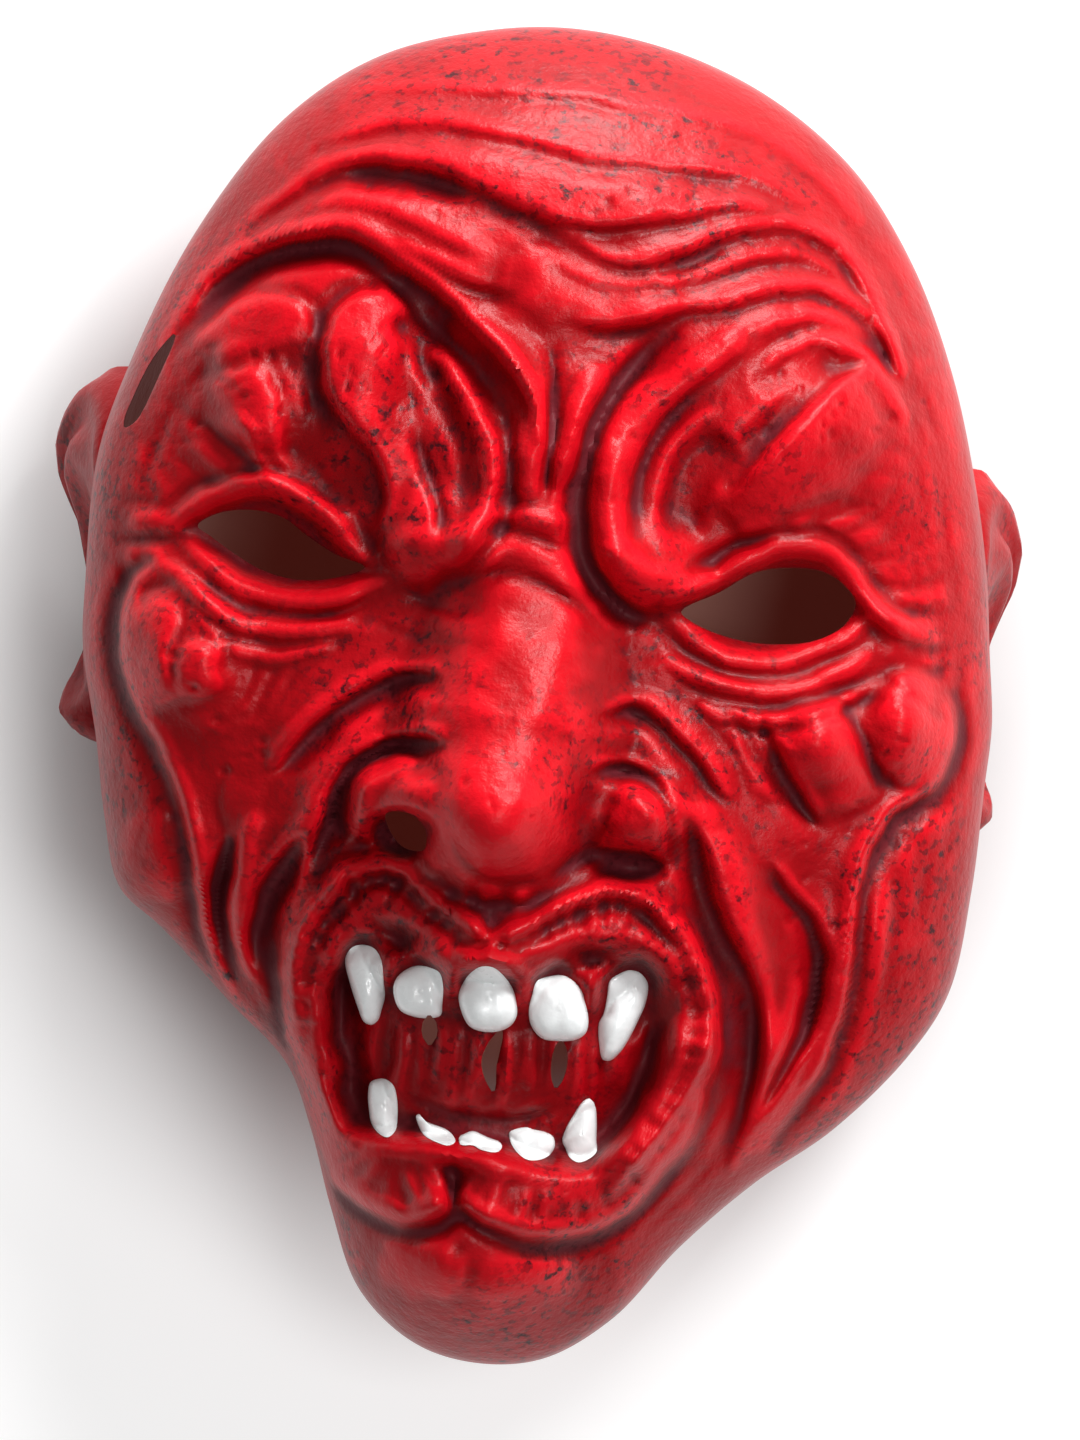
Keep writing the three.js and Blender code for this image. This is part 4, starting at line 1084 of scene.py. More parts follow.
@dataclass
class EarShape:
    """A cupped ear: its front edge is sunk in the side of the head, its helix stands free."""

    side: Ear
    top: float
    lobe: float
    edge: tuple[Point, ...]
    wall: tuple[Point, ...]
    front: float = 42
    back: float = 6
    thick: float = 6
    sunk: float = 3.5
    around: int = 64
    rings: int = 18

    def mesh(self) -> tuple[np.ndarray, list[tuple[int, ...]]]:
        """Closed surface over share (0 middle, 1 edge) and angle round the ear, on two faces.

        The outline is an ellipse that narrows to the lobe. The outer face carries a rolled helix,
        the fold inside it and a bowl; x leans out from the head to the edge seen from the front.

        Returns:
            Corner places in drawing millimetres and faces, pointing outwards.
        """
        share = np.linspace(0, 1, self.rings + 1)[1:, None]
        angle = np.linspace(0, 2 * math.pi, self.around, endpoint=False)[None, :]
        heights, outs = zip(*self.edge)
        wall_heights, wall_outs = zip(*self.wall)
        middle, half = (self.top + self.lobe) / 2, (self.top - self.lobe) / 2
        deep = (self.front - self.back) / 2
        points = []
        for face in (1, -1):
            y = middle + half * share * np.sin(angle)
            back = share * np.cos(angle)
            pinch = 1 - 0.36 * smoothstep(0, 1.5 * half, middle + 0.55 * half - y)
            z = (self.front + self.back) / 2 - deep * back * pinch
            reach = np.interp(y, heights, outs)
            head = np.interp(y, wall_heights, wall_outs) - self.sunk
            level = back / np.sqrt(np.maximum(1 - (share * np.sin(angle)) ** 2, 0.02))
            lean = (reach - self.thick / 2 - head) * (0.5 + 0.5 * level) ** 0.6
            helix = smoothstep(-0.95, -0.3, back + 0.4 * np.sin(angle))
            rim = np.exp(-(((share - 0.87) / 0.1) ** 2)) * helix
            inner_fold = np.exp(-(((share - 0.52) / 0.11) ** 2)) * smoothstep(-0.2, 0.5, back + 0.3)
            bowl = np.exp(-((share / 0.36) ** 2))
            groove = np.exp(-(((share - 0.7) / 0.08) ** 2)) * smoothstep(-0.3, 0.3, back)
            relief = 1.6 * rim + 1.5 * inner_fold - 3.2 * bowl - 1.4 * groove if face > 0 else -1.2 * bowl
            wall = self.thick / 2 * np.sqrt(np.clip(1 - share**6, 0, 1))
            x = head + lean + (wall if face > 0 else -wall) + relief * smoothstep(1, 0.9, share)
            points.append(np.stack([self.side.value * x, y, z + 0 * x], -1))
        outer, under = points
        tip = outer[0].mean(0)
        low = under[0].mean(0)
        corners = np.vstack([outer.reshape(-1, 3), under[:-1].reshape(-1, 3), tip, low])
        ring = self.around
        first_under = self.rings * ring

        def index(face: int, k: np.ndarray, i: np.ndarray) -> np.ndarray:
            """Corner numbers; the last ring of the under face is the outer face's."""
            own = (face < 0) & (k < self.rings - 1)
            return np.where(own, first_under, 0) + k * ring + i % ring

        k, i = np.meshgrid(np.arange(self.rings - 1), np.arange(ring), indexing="ij")
        faces: list[tuple[int, ...]] = []
        for face in (1, -1):
            quads = np.stack([index(face, k, i), index(face, k, i + 1), index(face, k + 1, i + 1),
                              index(face, k + 1, i)], -1).reshape(-1, 4)
            start = np.arange(ring)
            hub = np.full(ring, len(corners) - (2 if face > 0 else 1))
            fan = np.stack([hub, index(face, 0 * start, start + 1), index(face, 0 * start, start)], -1)
            if face * self.side.value < 0:
                quads, fan = quads[:, ::-1], fan[:, ::-1]
            faces += [tuple(q) for q in quads.tolist()] + [tuple(f) for f in fan.tolist()]
        return corners, faces


@dataclass(frozen=True)
class Tooth:
    """One painted tooth: a closed outline that domes up from the mouth's floor."""

    outline: tuple[Point, ...]
    stand: float = 4.5
    seat: float = 0.6
    gum_seat: float = 0.4
    root: float = 4
    rings: int = 14
    bubbles: int = 10

    def mesh(self, sculpture: Sculpture, seed: int) -> tuple[np.ndarray, list[tuple[int, ...]]]:
        """Rings from the outline's middle to its edge; height is stand times (1 - share^2.6)^0.45.

        The rings rise from the floor at the tooth's middle, or from the gum where that is higher.
        Small random lumps and a sine's ridges roughen the paint, and fade at the edge.

        Args:
            sculpture: The face whose floor the tooth stands on.
            seed: Seed of the paint's bubbles and brush lumps.

        Returns:
            Corner places in drawing millimetres and faces, pointing outwards.
        """
        rings = self.rings
        loop = smooth_line(self.outline, closed=True, steps=5)[:-1]
        rng = np.random.default_rng(seed)
        middle = loop.mean(0)
        share = np.linspace(0, 1, rings + 1)[1:, None, None]
        flat = middle + (loop[None] - middle) * share
        foot = float(sculpture.height(np.array([middle[0]]), np.array([middle[1]]))[0]) + self.seat
        lift = self.stand * (1 - share[..., 0] ** 2.6) ** 0.45
        wave = np.zeros(flat.shape[:2])
        for _ in range(self.bubbles):
            place = middle + rng.normal(0, 0.28, 2) * np.ptp(loop, axis=0)
            size = rng.uniform(0.7, 1.6)
            away = ((flat - place) ** 2).sum(-1) / size**2
            wave += rng.uniform(-0.22, 0.22) * np.exp(-away)
        ridges = 0.12 * np.sin(1.3 * flat[..., 0] + seed) * (1 - share[..., 0] ** 4)
        ground = sculpture.height(flat[..., 0], flat[..., 1])
        on_gum = ground + self.gum_seat + 0.4 * lift
        z = np.maximum(foot + lift, on_gum) + (wave + ridges) * (1 - share[..., 0] ** 6)
        top = np.concatenate([flat, z[..., None]], -1)
        base = np.concatenate([loop, np.full((len(loop), 1), foot - self.root)], -1)
        hub = np.array([[*middle, foot + self.stand]])
        under = np.array([[*middle, foot - self.root]])
        corners = np.vstack([top.reshape(-1, 3), base, hub, under])
        count = len(loop)
        k, i = np.meshgrid(np.arange(rings), np.arange(count), indexing="ij")
        after = (i + 1) % count
        quads = np.stack([k * count + i, (k + 1) * count + i, (k + 1) * count + after, k * count + after], -1)
        ring = np.arange(count)
        onward = (ring + 1) % count
        fan = np.stack([np.full(count, len(corners) - 2), ring, onward], -1)
        floor = np.stack([np.full(count, len(corners) - 1), rings * count + onward, rings * count + ring], -1)
        faces = [tuple(q) for q in quads.reshape(-1, 4).tolist()]
        faces += [tuple(f) for f in fan.tolist()] + [tuple(f) for f in floor.tolist()]
        return corners, faces


UPPER_TEETH = (
    Tooth(((-32.5, -53.9), (-31.3, -51.5), (-29.3, -50.8), (-26.9, -51.3), (-25.3, -53.4),
           (-24.5, -57.8), (-24.1, -60.7), (-24.5, -63.1), (-25.1, -65.5), (-26.3, -66.5), (-27.9, -66),
           (-29.2, -63.5), (-31.1, -58.9)), 5),
    Tooth(((-22.5, -58.8), (-21.8, -56.4), (-19.6, -54.5), (-17.8, -53.9), (-15.5, -54.1),
           (-13.6, -54.9), (-12.7, -57.5), (-12.6, -61), (-12.8, -63.4), (-15, -64.1), (-18.2, -64),
           (-21, -62.8))),
    Tooth(((-9.5, -59), (-8.5, -55.9), (-7.2, -54.1), (-5.5, -52.9), (-3.1, -52.9), (-0.9, -54.5),
           (1, -57), (2, -59.9), (2.2, -62.2), (1.3, -64.1), (-1, -65.5), (-4.5, -65.8), (-6.9, -65),
           (-8.6, -62.5)), 5),
    Tooth(((4.5, -60.9), (4.9, -57.9), (5.6, -55.2), (7, -54.3), (10.5, -53.6), (12.4, -54.3),
           (14.3, -56), (15.5, -58.8), (16.4, -62.3), (16, -64.7), (14.4, -66), (11.2, -66.6),
           (7.4, -66.3), (5.1, -63.8)), 5),
    Tooth(((19.7, -57.3), (20, -54), (22, -52.4), (23.7, -51.7), (25.8, -52.1), (27.4, -53.8),
           (27.7, -55.5), (27.3, -58.5), (26.2, -61.6), (25, -64.6), (23.2, -68), (21.2, -69.9),
           (19.8, -69.7), (18.9, -66.8), (18.5, -62.7), (19.3, -60.6)), 5),
)
LOWER_TEETH = (
    Tooth(((-26, -80.4), (-25.7, -78), (-24, -77.1), (-22.6, -77.1), (-21, -78.2), (-20.2, -80.5),
           (-19.8, -84), (-20, -87), (-21.4, -88.3), (-23.2, -87.8), (-24.8, -86.2), (-25.6, -83.3)), 4),
    Tooth(((-16.1, -83.7), (-15.5, -83.4), (-14.6, -84.5), (-12.5, -85.2), (-10.1, -85.9), (-8.5, -87),
           (-8, -88.1), (-9.2, -88.8), (-11.6, -88.4), (-14.4, -87.2), (-15.7, -85.2)), 2.4),
    Tooth(((-7.3, -87.2), (-6.2, -86.4), (-4.7, -85.8), (-1.7, -86.8), (0.7, -87.5), (1.3, -88.3),
           (0.6, -89.3), (-2.7, -89.2), (-4.5, -88.5), (-6.9, -88.5)), 2),
    Tooth(((2.5, -85.6), (3.5, -84.9), (5.8, -84.3), (7, -84.6), (9.7, -85), (11.2, -85.8),
           (11.7, -87.5), (10.9, -89.3), (8.9, -90.4), (6.3, -90.4), (4.1, -89), (2.7, -87)), 2.8),
    Tooth(((13.1, -86.5), (13.7, -83.8), (15, -81), (16.6, -78.3), (17.8, -77.7), (19, -79),
           (19.6, -82.2), (19.8, -85.7), (20, -88.1), (18.6, -89.6), (16.6, -90.4), (14.8, -89.6),
           (13.8, -87.9)), 4),
)

EARS = (
    EarShape(Ear.LEFT, 61, -15.5,
             ((-15.5, 89), (-13.5, 94), (-9.4, 95.8), (-4.4, 94), (0, 91.5), (8, 89), (16, 90), (22, 91.8),
              (29, 93.7), (34, 96.5), (38, 98.6), (45, 100), (50.5, 99), (56, 97), (61, 92)),
             ((-14, 84), (4, 88), (16, 88.3), (42, 87.8), (61, 83))),
    EarShape(Ear.RIGHT, 53.5, -22,
             ((-22, 90.5), (-20.3, 93.8), (-16.7, 95.2), (-13, 94.5), (-9.4, 92.5), (0, 90), (10, 90),
             (18, 91.3),
              (24, 93.4), (30, 96), (38, 97.2), (46, 95), (53.5, 91)),
             ((-31, 88.8), (-10, 89.8), (2, 90.3), (16, 88.8), (33, 86.9), (52, 83))),
)

LEFT_EYE = (
    (-68.3, 29.4), (-64.7, 32), (-57.7, 33.3), (-51.4, 32.2), (-46.4, 29), (-40.7, 25.8), (-34.5, 23.6),
    (-42.3, 20.6), (-49, 20.3), (-55.4, 21.8), (-60.5, 24.4), (-65.7, 27.6))
RIGHT_EYE = (
    (28.4, 19.6), (36, 24.2), (42.5, 28.5), (49.5, 30), (56.3, 29.6), (60.7, 27), (62.8, 24),
    (60.7, 19.3), (55.3, 16), (49.2, 14.8), (42.4, 14.7), (35.3, 16), (31, 17.6))
NOSTRIL = ((-26.5, -24.5), (-22, -24), (-18.5, -27), (-18.5, -31), (-22.5, -31), (-25.5, -28))
MOUTH_SLITS = (
    ((-15, -63.5), (-14.5, -69.5)),
    ((-0.6, -65.5), (-2.1, -69.7), (-2.5, -72.6), (-1.3, -77.6)),
    ((11.3, -66.5), (11.3, -71), (11, -76)),
)
VENT_SLIT = ((-76, 67), (-79.5, 60), (-83, 51), (-84.6, 48))


def slit_outline(points: Sequence[Point], width: float) -> np.ndarray:
    """A closed line half a width to either side of a middle line, drawn in at its ends.

    Args:
        points: The middle line.
        width: Width in the middle, in millimetres.

    Returns:
        The closed outline, its first place not repeated.
    """
    line = smooth_line(points, steps=4)
    slope = np.gradient(line, axis=0)
    normal = np.stack([-slope[:, 1], slope[:, 0]], 1) / np.linalg.norm(slope, axis=1)[:, None]
    half = width / 2 * np.sqrt(np.maximum(np.sin(np.linspace(0, math.pi, len(line))), 0.04))[:, None]
    return np.vstack([line + normal * half, (line - normal * half)[::-1]])


def make_object(name: str, corners: np.ndarray, faces: Sequence[Sequence[int]]) -> bpy.types.Object:
    """A mesh object in the scene, at the origin.

    Args:
        name: Name of the object and its mesh.
        corners: Places in metres.
        faces: Corner numbers of each face.

    Returns:
        The new object.
    """
    mesh = bpy.data.meshes.new(name)
    mesh.from_pydata(np.asarray(corners, float).tolist(), [], [list(f) for f in faces])
    mesh.validate()
    mesh.update()
    made = bpy.data.objects.new(name, mesh)
    bpy.context.scene.collection.objects.link(made)
    return made


@dataclass
class Casting:
    """The mask itself: one hollow latex shell with ears and teeth, and holes cut through it."""

    sculpture: Sculpture
    shift: np.ndarray
    latex: float = 2.4
    slit_width: float = 3.2
    across: int = 232
    up: int = 304
    coarse_across: int = 72
    coarse_up: int = 96
    side_rings: int = 4
    crowding: float = 0.15
    sharp_angle: float = 62
    least_depth: float = 1.2
    least_inset: float = 1.4

    def solid(self, name: str, corners: np.ndarray, faces: Sequence[Sequence[int]]) -> bpy.types.Object:
        """A closed solid whose corners are drawing millimetres, as an object in the frame's metres."""
        return make_object(name, (corners + self.shift) * MM, faces)

    def grid(self, across: int, up: int) -> tuple[np.ndarray, np.ndarray]:
        """Share of the way out and direction of each corner of a square grid laid on the head.

        A square's ring at reach r falls on the widest line's shape at share r, and its corners
        spread evenly round it; the rings crowd a little towards the edge.

        Args:
            across: Faces across the grid.
            up: Faces up the grid.

        Returns:
            Share and angle of each corner.
        """
        a, b = np.meshgrid(np.linspace(-1, 1, across + 1), np.linspace(-1, 1, up + 1))
        reach = np.maximum(np.abs(a), np.abs(b))
        eighth = math.pi / 4
        with np.errstate(divide="ignore", invalid="ignore"):
            wide = eighth * np.where(a == 0, 0, b / a) + np.where(a < 0, math.pi, 0)
            tall = eighth * (2 - np.where(b == 0, 0, a / b)) + np.where(b < 0, math.pi, 0)
        angle = np.where(np.abs(a) >= np.abs(b), wide, tall)
        share = (1 - self.crowding) * reach + self.crowding * np.sin(reach * math.pi / 2)
        return share, angle

    def skin(self, name: str, across: int, up: int, inset: float, floor: float,
             height: Callable[[np.ndarray, np.ndarray], np.ndarray]) -> bpy.types.Object:
        """A closed solid: the face as a grid, rings down the side, and a flat floor.

        Args:
            name: Name of the solid.
            across: Faces across the grid.
            up: Faces up the grid.
            inset: How far inside the widest line the skin lies.
            floor: Height of the floor.
            height: The face's height at places x, y.

        Returns:
            The solid as an object, its faces pointing outwards.
        """
        share, angle = self.grid(across, up)
        radius = self.sculpture.form.radius(angle)
        place = share * (radius - inset)
        full = share * radius
        z = height(full * np.cos(angle), full * np.sin(angle))
        top = np.stack([place * np.cos(angle), place * np.sin(angle), z], -1)
        number = np.arange((across + 1) * (up + 1)).reshape(up + 1, across + 1)
        quads = np.stack([number[:-1, :-1], number[:-1, 1:], number[1:, 1:], number[1:, :-1]], -1)
        border = np.concatenate([number[0, :-1], number[:-1, -1], number[-1, :0:-1], number[:0:-1, 0]])
        edge = top.reshape(-1, 3)[border]
        down = np.linspace(0, 1, self.side_rings + 1)[1:, None]
        draw = 1 - self.sculpture.form.rim_draw * down**2
        rings = np.stack([edge[None, :, 0] * draw, edge[None, :, 1] * draw,
                          edge[None, :, 2] * (1 - down) + floor * down], -1)
        count = len(border)
        corners = np.vstack([top.reshape(-1, 3), rings.reshape(-1, 3), [[0, 0, floor]]])
        base = number.size
        loops = np.vstack([border, base + np.arange(self.side_rings * count).reshape(-1, count)])
        upper, lower = loops[:-1], loops[1:]
        sides = np.stack([upper, lower, np.roll(lower, -1, 1), np.roll(upper, -1, 1)], -1).reshape(-1, 4)
        last = loops[-1]
        fan = np.stack([last, np.full(count, len(corners) - 1), np.roll(last, -1)], -1)
        return self.solid(name, corners, [*quads.reshape(-1, 4).tolist(), *sides.tolist(), *fan.tolist()])

    def prism(self, name: str, outline: np.ndarray, low: float, high: float) -> bpy.types.Object:
        """A straight cutter with the given outline, from low to high.

        Args:
            name: Name of the cutter.
            outline: Closed outline, its first place not repeated, either way round.
            low: Height of its lower face.
            high: Height of its upper face.

        Returns:
            The cutter.
        """
        x, y = outline[:, 0], outline[:, 1]
        if np.sum(x * np.roll(y, -1) - np.roll(x, -1) * y) < 0:
            outline = outline[::-1]
        count = len(outline)
        corners = np.vstack([np.column_stack([outline, np.full(count, h)]) for h in (low, high)])
        i = np.arange(count)
        after = (i + 1) % count
        sides = np.stack([i, after, after + count, i + count], -1).tolist()
        return self.solid(name, corners, [i[::-1].tolist(), (i + count).tolist(), *sides])

    def cutters(self) -> list[bpy.types.Object]:
        """The eye holes, the nostril, the mouth slits and the vent slit.

        Returns:
            The cutters.
        """
        low, high = self.sculpture.form.side_depth + 4, 140
        made = []
        for name, points in (("left_eye", LEFT_EYE), ("right_eye", RIGHT_EYE), ("nostril", NOSTRIL)):
            made.append(self.prism(name, smooth_line(points, closed=True, steps=5)[:-1], low, high))
        for number, points in enumerate(MOUTH_SLITS, 1):
            slit = slit_outline(points, self.slit_width)
            made.append(self.prism(f"mouth_slit_{number}", slit, low, high))
        vent = slit_outline(VENT_SLIT, self.slit_width)
        made.append(self.prism("vent", vent, self.sculpture.form.side_depth, high))
        return made

    def combine(self, target: bpy.types.Object, tools: Sequence[bpy.types.Object], operation: str) -> None:
        """Joins the tools to the target or cuts them from it, and deletes them.

        Args:
            target: The solid that is changed.
            tools: Solids that are joined or cut.
            operation: UNION or DIFFERENCE.
        """
        for tool in tools:
            boolean = target.modifiers.new(tool.name, "BOOLEAN")
            boolean.operation = operation
            boolean.solver = "MANIFOLD"
            boolean.material_mode = "INDEX"
            boolean.object = tool
        bpy.context.view_layer.update()
        graph = bpy.context.evaluated_depsgraph_get()
        result = bpy.data.meshes.new_from_object(target.evaluated_get(graph))
        result.validate()
        target.modifiers.clear()
        old = target.data
        target.data = result
        result.name = target.name
        bpy.data.meshes.remove(old)
        for tool in tools:
            mesh = tool.data
            bpy.data.objects.remove(tool)
            bpy.data.meshes.remove(mesh)

    def build(self, finishes: Sequence[bpy.types.Material]) -> bpy.types.Object:
        """Builds the casting.

        Args:
            finishes: The latex and the tooth paint, in the order of the material numbers.

        Returns:
            The finished object.
        """
        head = self.skin("demon_mask", self.across, self.up, 0, 0, self.sculpture.height)
        hollow = self.skin("hollow", self.coarse_across, self.coarse_up, self.latex, -self.latex,
                           lambda x, y: self.sculpture.inner(x, y, self.latex))
        ears = [self.solid(f"ear_{ear.side.name.lower()}", *ear.mesh()) for ear in EARS]
        teeth = []
        for number, tooth in enumerate((*UPPER_TEETH, *LOWER_TEETH), 1):
            made = self.solid(f"tooth_{number}", *tooth.mesh(self.sculpture, number))
            made.data.polygons.foreach_set("material_index", np.ones(len(made.data.polygons), np.int32))
            teeth.append(made)
        for made in (head, hollow, *ears, *teeth):
            for finish in finishes:
                made.data.materials.append(finish)
        self.combine(head, [*ears, *teeth], "UNION")
        self.combine(head, [hollow, *self.cutters()], "DIFFERENCE")
        self.dress(head)
        return head

    def dress(self, head: bpy.types.Object) -> None:
        """Smooths the shading up to sharp edges and stores where the wash, mouth and inside are.

        The wash's fields also place a painted shade in hollows and a painted highlight on convex tops;
        the mouth's field places a painted shade on its sunk floor, and the inside's field a painted
        shade and painted light. A corner is inside if it is well below the face and well within the
        side's wall, which draws in towards the rim.

        Args:
            head: The finished casting.
        """
        mesh = head.data
        mesh.shade_smooth()
        mesh.set_sharp_from_angle(angle=math.radians(self.sharp_angle))
        places = np.empty(len(mesh.vertices) * 3)
        mesh.vertices.foreach_get("co", places)
        x, y, z = (places.reshape(-1, 3) / MM - self.shift).T
        sculpture, raster = self.sculpture, self.sculpture.raster
        edge = smoothstep(1, 0.96, sculpture.form.share(x, y))
        angle = np.arctan2(y, x)
        radius = sculpture.form.radius(angle)
        brim = sculpture.height(radius * np.cos(angle), radius * np.sin(angle))
        wall = radius * (1 - sculpture.form.rim_draw * np.clip(1 - z / brim, 0, 1) ** 2)
        below = z < sculpture.height(x, y) - self.least_depth
        inside = below & (np.hypot(x, y) < wall - self.least_inset)
        fields = {
            "fine": raster.sample(sculpture.fine_hollow, x, y) * edge,
            "wide": raster.sample(sculpture.wide_hollow, x, y) * edge,
            "mouth": raster.sample(sculpture.deep, x, y),
            "inside": inside.astype(float),
        }
        for name, values in fields.items():
            layer = mesh.attributes.new(name, "FLOAT", "POINT")
            layer.data.foreach_set("value", values.astype(np.float32))


class Value:
    """A node's output socket, with the sums that a shader needs as operators."""

    def __init__(self, shader: "Shader", socket: bpy.types.NodeSocket) -> None:
        """Wraps a socket of a shader."""
        self.shader = shader
        self.socket = socket

    def _maths(self, operation: str, *values: "Value | float") -> "Value":
        """A Math node on values and numbers."""
        return self.shader.node("ShaderNodeMath", {"operation": operation}, dict(enumerate(values)))

    def __add__(self, other: "Value | float") -> "Value":
        """Sum."""
        return self._maths("ADD", self, other)

    __radd__ = __add__

    def __sub__(self, other: "Value | float") -> "Value":
        """Difference."""
        return self._maths("SUBTRACT", self, other)

    def __rsub__(self, other: float) -> "Value":
        """Difference from a number."""
        return self._maths("SUBTRACT", other, self)

    def __mul__(self, other: "Value | float") -> "Value":
        """Product."""
        return self._maths("MULTIPLY", self, other)

    __rmul__ = __mul__

    def clamp(self) -> "Value":
        """The value held between 0 and 1."""
        return self._maths("MINIMUM", self._maths("MAXIMUM", self, 0), 1)

    def step(self, low: float, high: float) -> "Value":
        """Smooth rise from 0 at low to 1 at high.

        Args:
            low: Where the rise starts.
            high: Where it ends.

        Returns:
            The risen value.
        """
        return self.shader.node(
            "ShaderNodeMapRange", {"interpolation_type": "SMOOTHSTEP"},
            {"Value": self, "From Min": low, "From Max": high, "To Min": 0, "To Max": 1})


class Shader:
    """A material under construction."""

    def __init__(self, name: str) -> None:
        """Makes an empty node material.

        Args:
            name: The material's name.
        """
        self.material = bpy.data.materials.new(name)
        self.material.use_nodes = True
        self.tree = self.material.node_tree
        self.tree.nodes.clear()

    def node(self, kind: str, settings: dict[str, object] | None = None,
             inputs: dict[str | int, object] | None = None, output: str | int = 0) -> Value:
        """Adds a node.

        Args:
            kind: The node's type.
            settings: Its own settings, set first.
            inputs: Values or links of its sockets, by name or number.
            output: The output wanted, by name or number.

        Returns:
            That output.
        """
        made = self.tree.nodes.new(kind)
        for name, value in (settings or {}).items():
            setattr(made, name, value)
        for name, value in (inputs or {}).items():
            if isinstance(value, Value):
                self.tree.links.new(value.socket, made.inputs[name])
            else:
                made.inputs[name].default_value = value
        return Value(self, made.outputs[output])

    def attribute(self, name: str) -> Value:
        """A number stored on the mesh."""
        return self.node("ShaderNodeAttribute", {"attribute_name": name}, output="Fac")

    def noise(self, size: float, detail: float = 3, roughness: float = 0.55) -> Value:
        """Noise of about the given size in metres, on the object's own coordinates.

        Args:
            size: Size of its largest lumps.
            detail: How many finer octaves it has.
            roughness: How strong the finer octaves are.

        Returns:
            The noise, from 0 to 1.
        """
        place = self.node("ShaderNodeTexCoord", output="Object")
        place = self.node("ShaderNodeMapping", {}, {"Vector": place, "Scale": (1 / size,) * 3})
        return self.node("ShaderNodeTexNoise", {},
                         {"Vector": place, "Scale": 1, "Detail": detail, "Roughness": roughness})

    def mix(self, share: Value | float, low: object, high: object) -> Value:
        """A colour between two, by share."""
        return self.node("ShaderNodeMix", {"data_type": "RGBA"},
                         {"Factor": share, 6: low, 7: high}, output=2)

    def bump(self, height: Value, distance: float, strength: float) -> Value:
        """A normal from a height, whose full range is distance metres."""
        return self.node("ShaderNodeBump", {}, {"Height": height, "Distance": distance, "Strength": strength})

    def finish(self, sockets: dict[str, object]) -> bpy.types.Material:
        """Ends in a Principled shader with the given sockets.

        Args:
            sockets: Values or links of the shader's sockets, by name.

        Returns:
            The finished material.
        """
        surface = self.node("ShaderNodeBsdfPrincipled", {}, sockets)
        end = self.tree.nodes.new("ShaderNodeOutputMaterial")
        self.tree.links.new(surface.socket, end.inputs["Surface"])
        return self.material


@dataclass(frozen=True)
class RedLatex:
    """Glossy red latex with a thin dark wash wiped into its creases and flecked over its skin.

    Painted shade deepens its creases and valleys and a painted highlight pales its convex tops.
    The inside is a plain dark brown, a painted shade, and glows faintly though it is no lamp: a
    painted light.
    """

    red: tuple[float, float, float, float] = (0.29, 0.0008, 0.0035, 1)
    # Paler red: random tone, and a painted highlight on convex tops.
    pale_tone_and_highlight: tuple[float, float, float, float] = (0.60, 0.003, 0.010, 1)
    # Deeper red: a painted shade in creases, valleys and the sunk mouth, broken by random patches.
    deep: tuple[float, float, float, float] = (0.115, 0.0006, 0.002, 1)
    wash: tuple[float, float, float, float] = (0.10, 0.013, 0.020, 1)
    fleck: tuple[float, float, float, float] = (0.055, 0.003, 0.006, 1)
    # Painted shade: the inside's plain dark brown.
    shaded_lining: tuple[float, float, float, float] = (0.12, 0.035, 0.032, 1)
    # Colour of the inside's faint painted light; the latex is no lamp.
    daylight: tuple[float, float, float, float] = (0.42, 0.10, 0.08, 1)
    inside_glow_strength: float = 0.12
    shine: float = 0.16

    def material(self) -> bpy.types.Material:
        """Builds the finish.

        Convex tops pale to a brighter red, a painted highlight; creases and valleys darken first to a
        deeper red, a painted shade, then to the wash, and the sunk mouth darkens too, a painted shade;
        flecks are the peaks of two noises.

        Returns:
            The material.
        """
        shader = Shader("red_latex")
        fine = shader.attribute("fine")
        wide = shader.attribute("wide")
        mouth = shader.attribute("mouth")
        mottle = shader.noise(0.022, 4, 0.6)
        grain = shader.noise(0.0035, 4, 0.6)
        patches = shader.noise(0.045, 3, 0.6)
        specks = shader.noise(0.0018, 2, 0.5)
        # Painted highlight: where the face stands above its blur, it pales towards the paler red.
        crest_highlight = (fine * -2.0 + wide * -0.3).clamp()
        colour = shader.mix((mottle.step(0.35, 0.7) * 0.45 + crest_highlight * 0.7).clamp(), self.red, self.pale_tone_and_highlight)
        # Painted shade: creases and wide valleys darken to the deeper red, with random patches.
        hollow = (fine * 0.7 + wide * 0.22 + (mottle - 0.5) * 0.9 + (patches - 0.5) * 1.6).step(0.0, 1.5)
        colour = shader.mix(hollow * 0.75, colour, self.deep)
        stain = (fine * 0.9 + wide * 0.09 + (mottle - 0.5) * 1.1 + (grain - 0.5) * 1.3).step(0.4, 1.9)
        colour = shader.mix(stain * 0.75, colour, self.wash)
        flecks = (grain.step(0.53, 0.66) * 0.6 + specks.step(0.56, 0.64) * 0.6) * patches.step(0.42, 0.58)
        colour = shader.mix(flecks.clamp(), colour, self.fleck)
        # Painted shade: the sunk mouth floor darkens to the deeper red, the lips less.
        colour = shader.mix(mouth * 0.36, colour, self.deep)
        inside = shader.attribute("inside")
        # Painted shade: the inside is a plain dark brown.
        colour = shader.mix(inside, colour, self.shaded_lining)
        roughness = 0.36 + (mottle - 0.5) * 0.16 + stain * 0.2
        skin = shader.noise(0.0016, 3, 0.6) * 0.6 + shader.noise(0.0045, 3, 0.5) * 0.9
        return shader.finish({
            "Base Color": colour,
            "Roughness": roughness,
            "IOR": 1.5,
            "Specular IOR Level": self.shine,
            # Painted light: the inside glows faintly though it is no lamp.
            "Emission Color": shader.mix(inside, BLACK, self.daylight),
            "Emission Strength": self.inside_glow_strength,
            "Normal": shader.bump(skin, 0.0005, 0.6),
        })


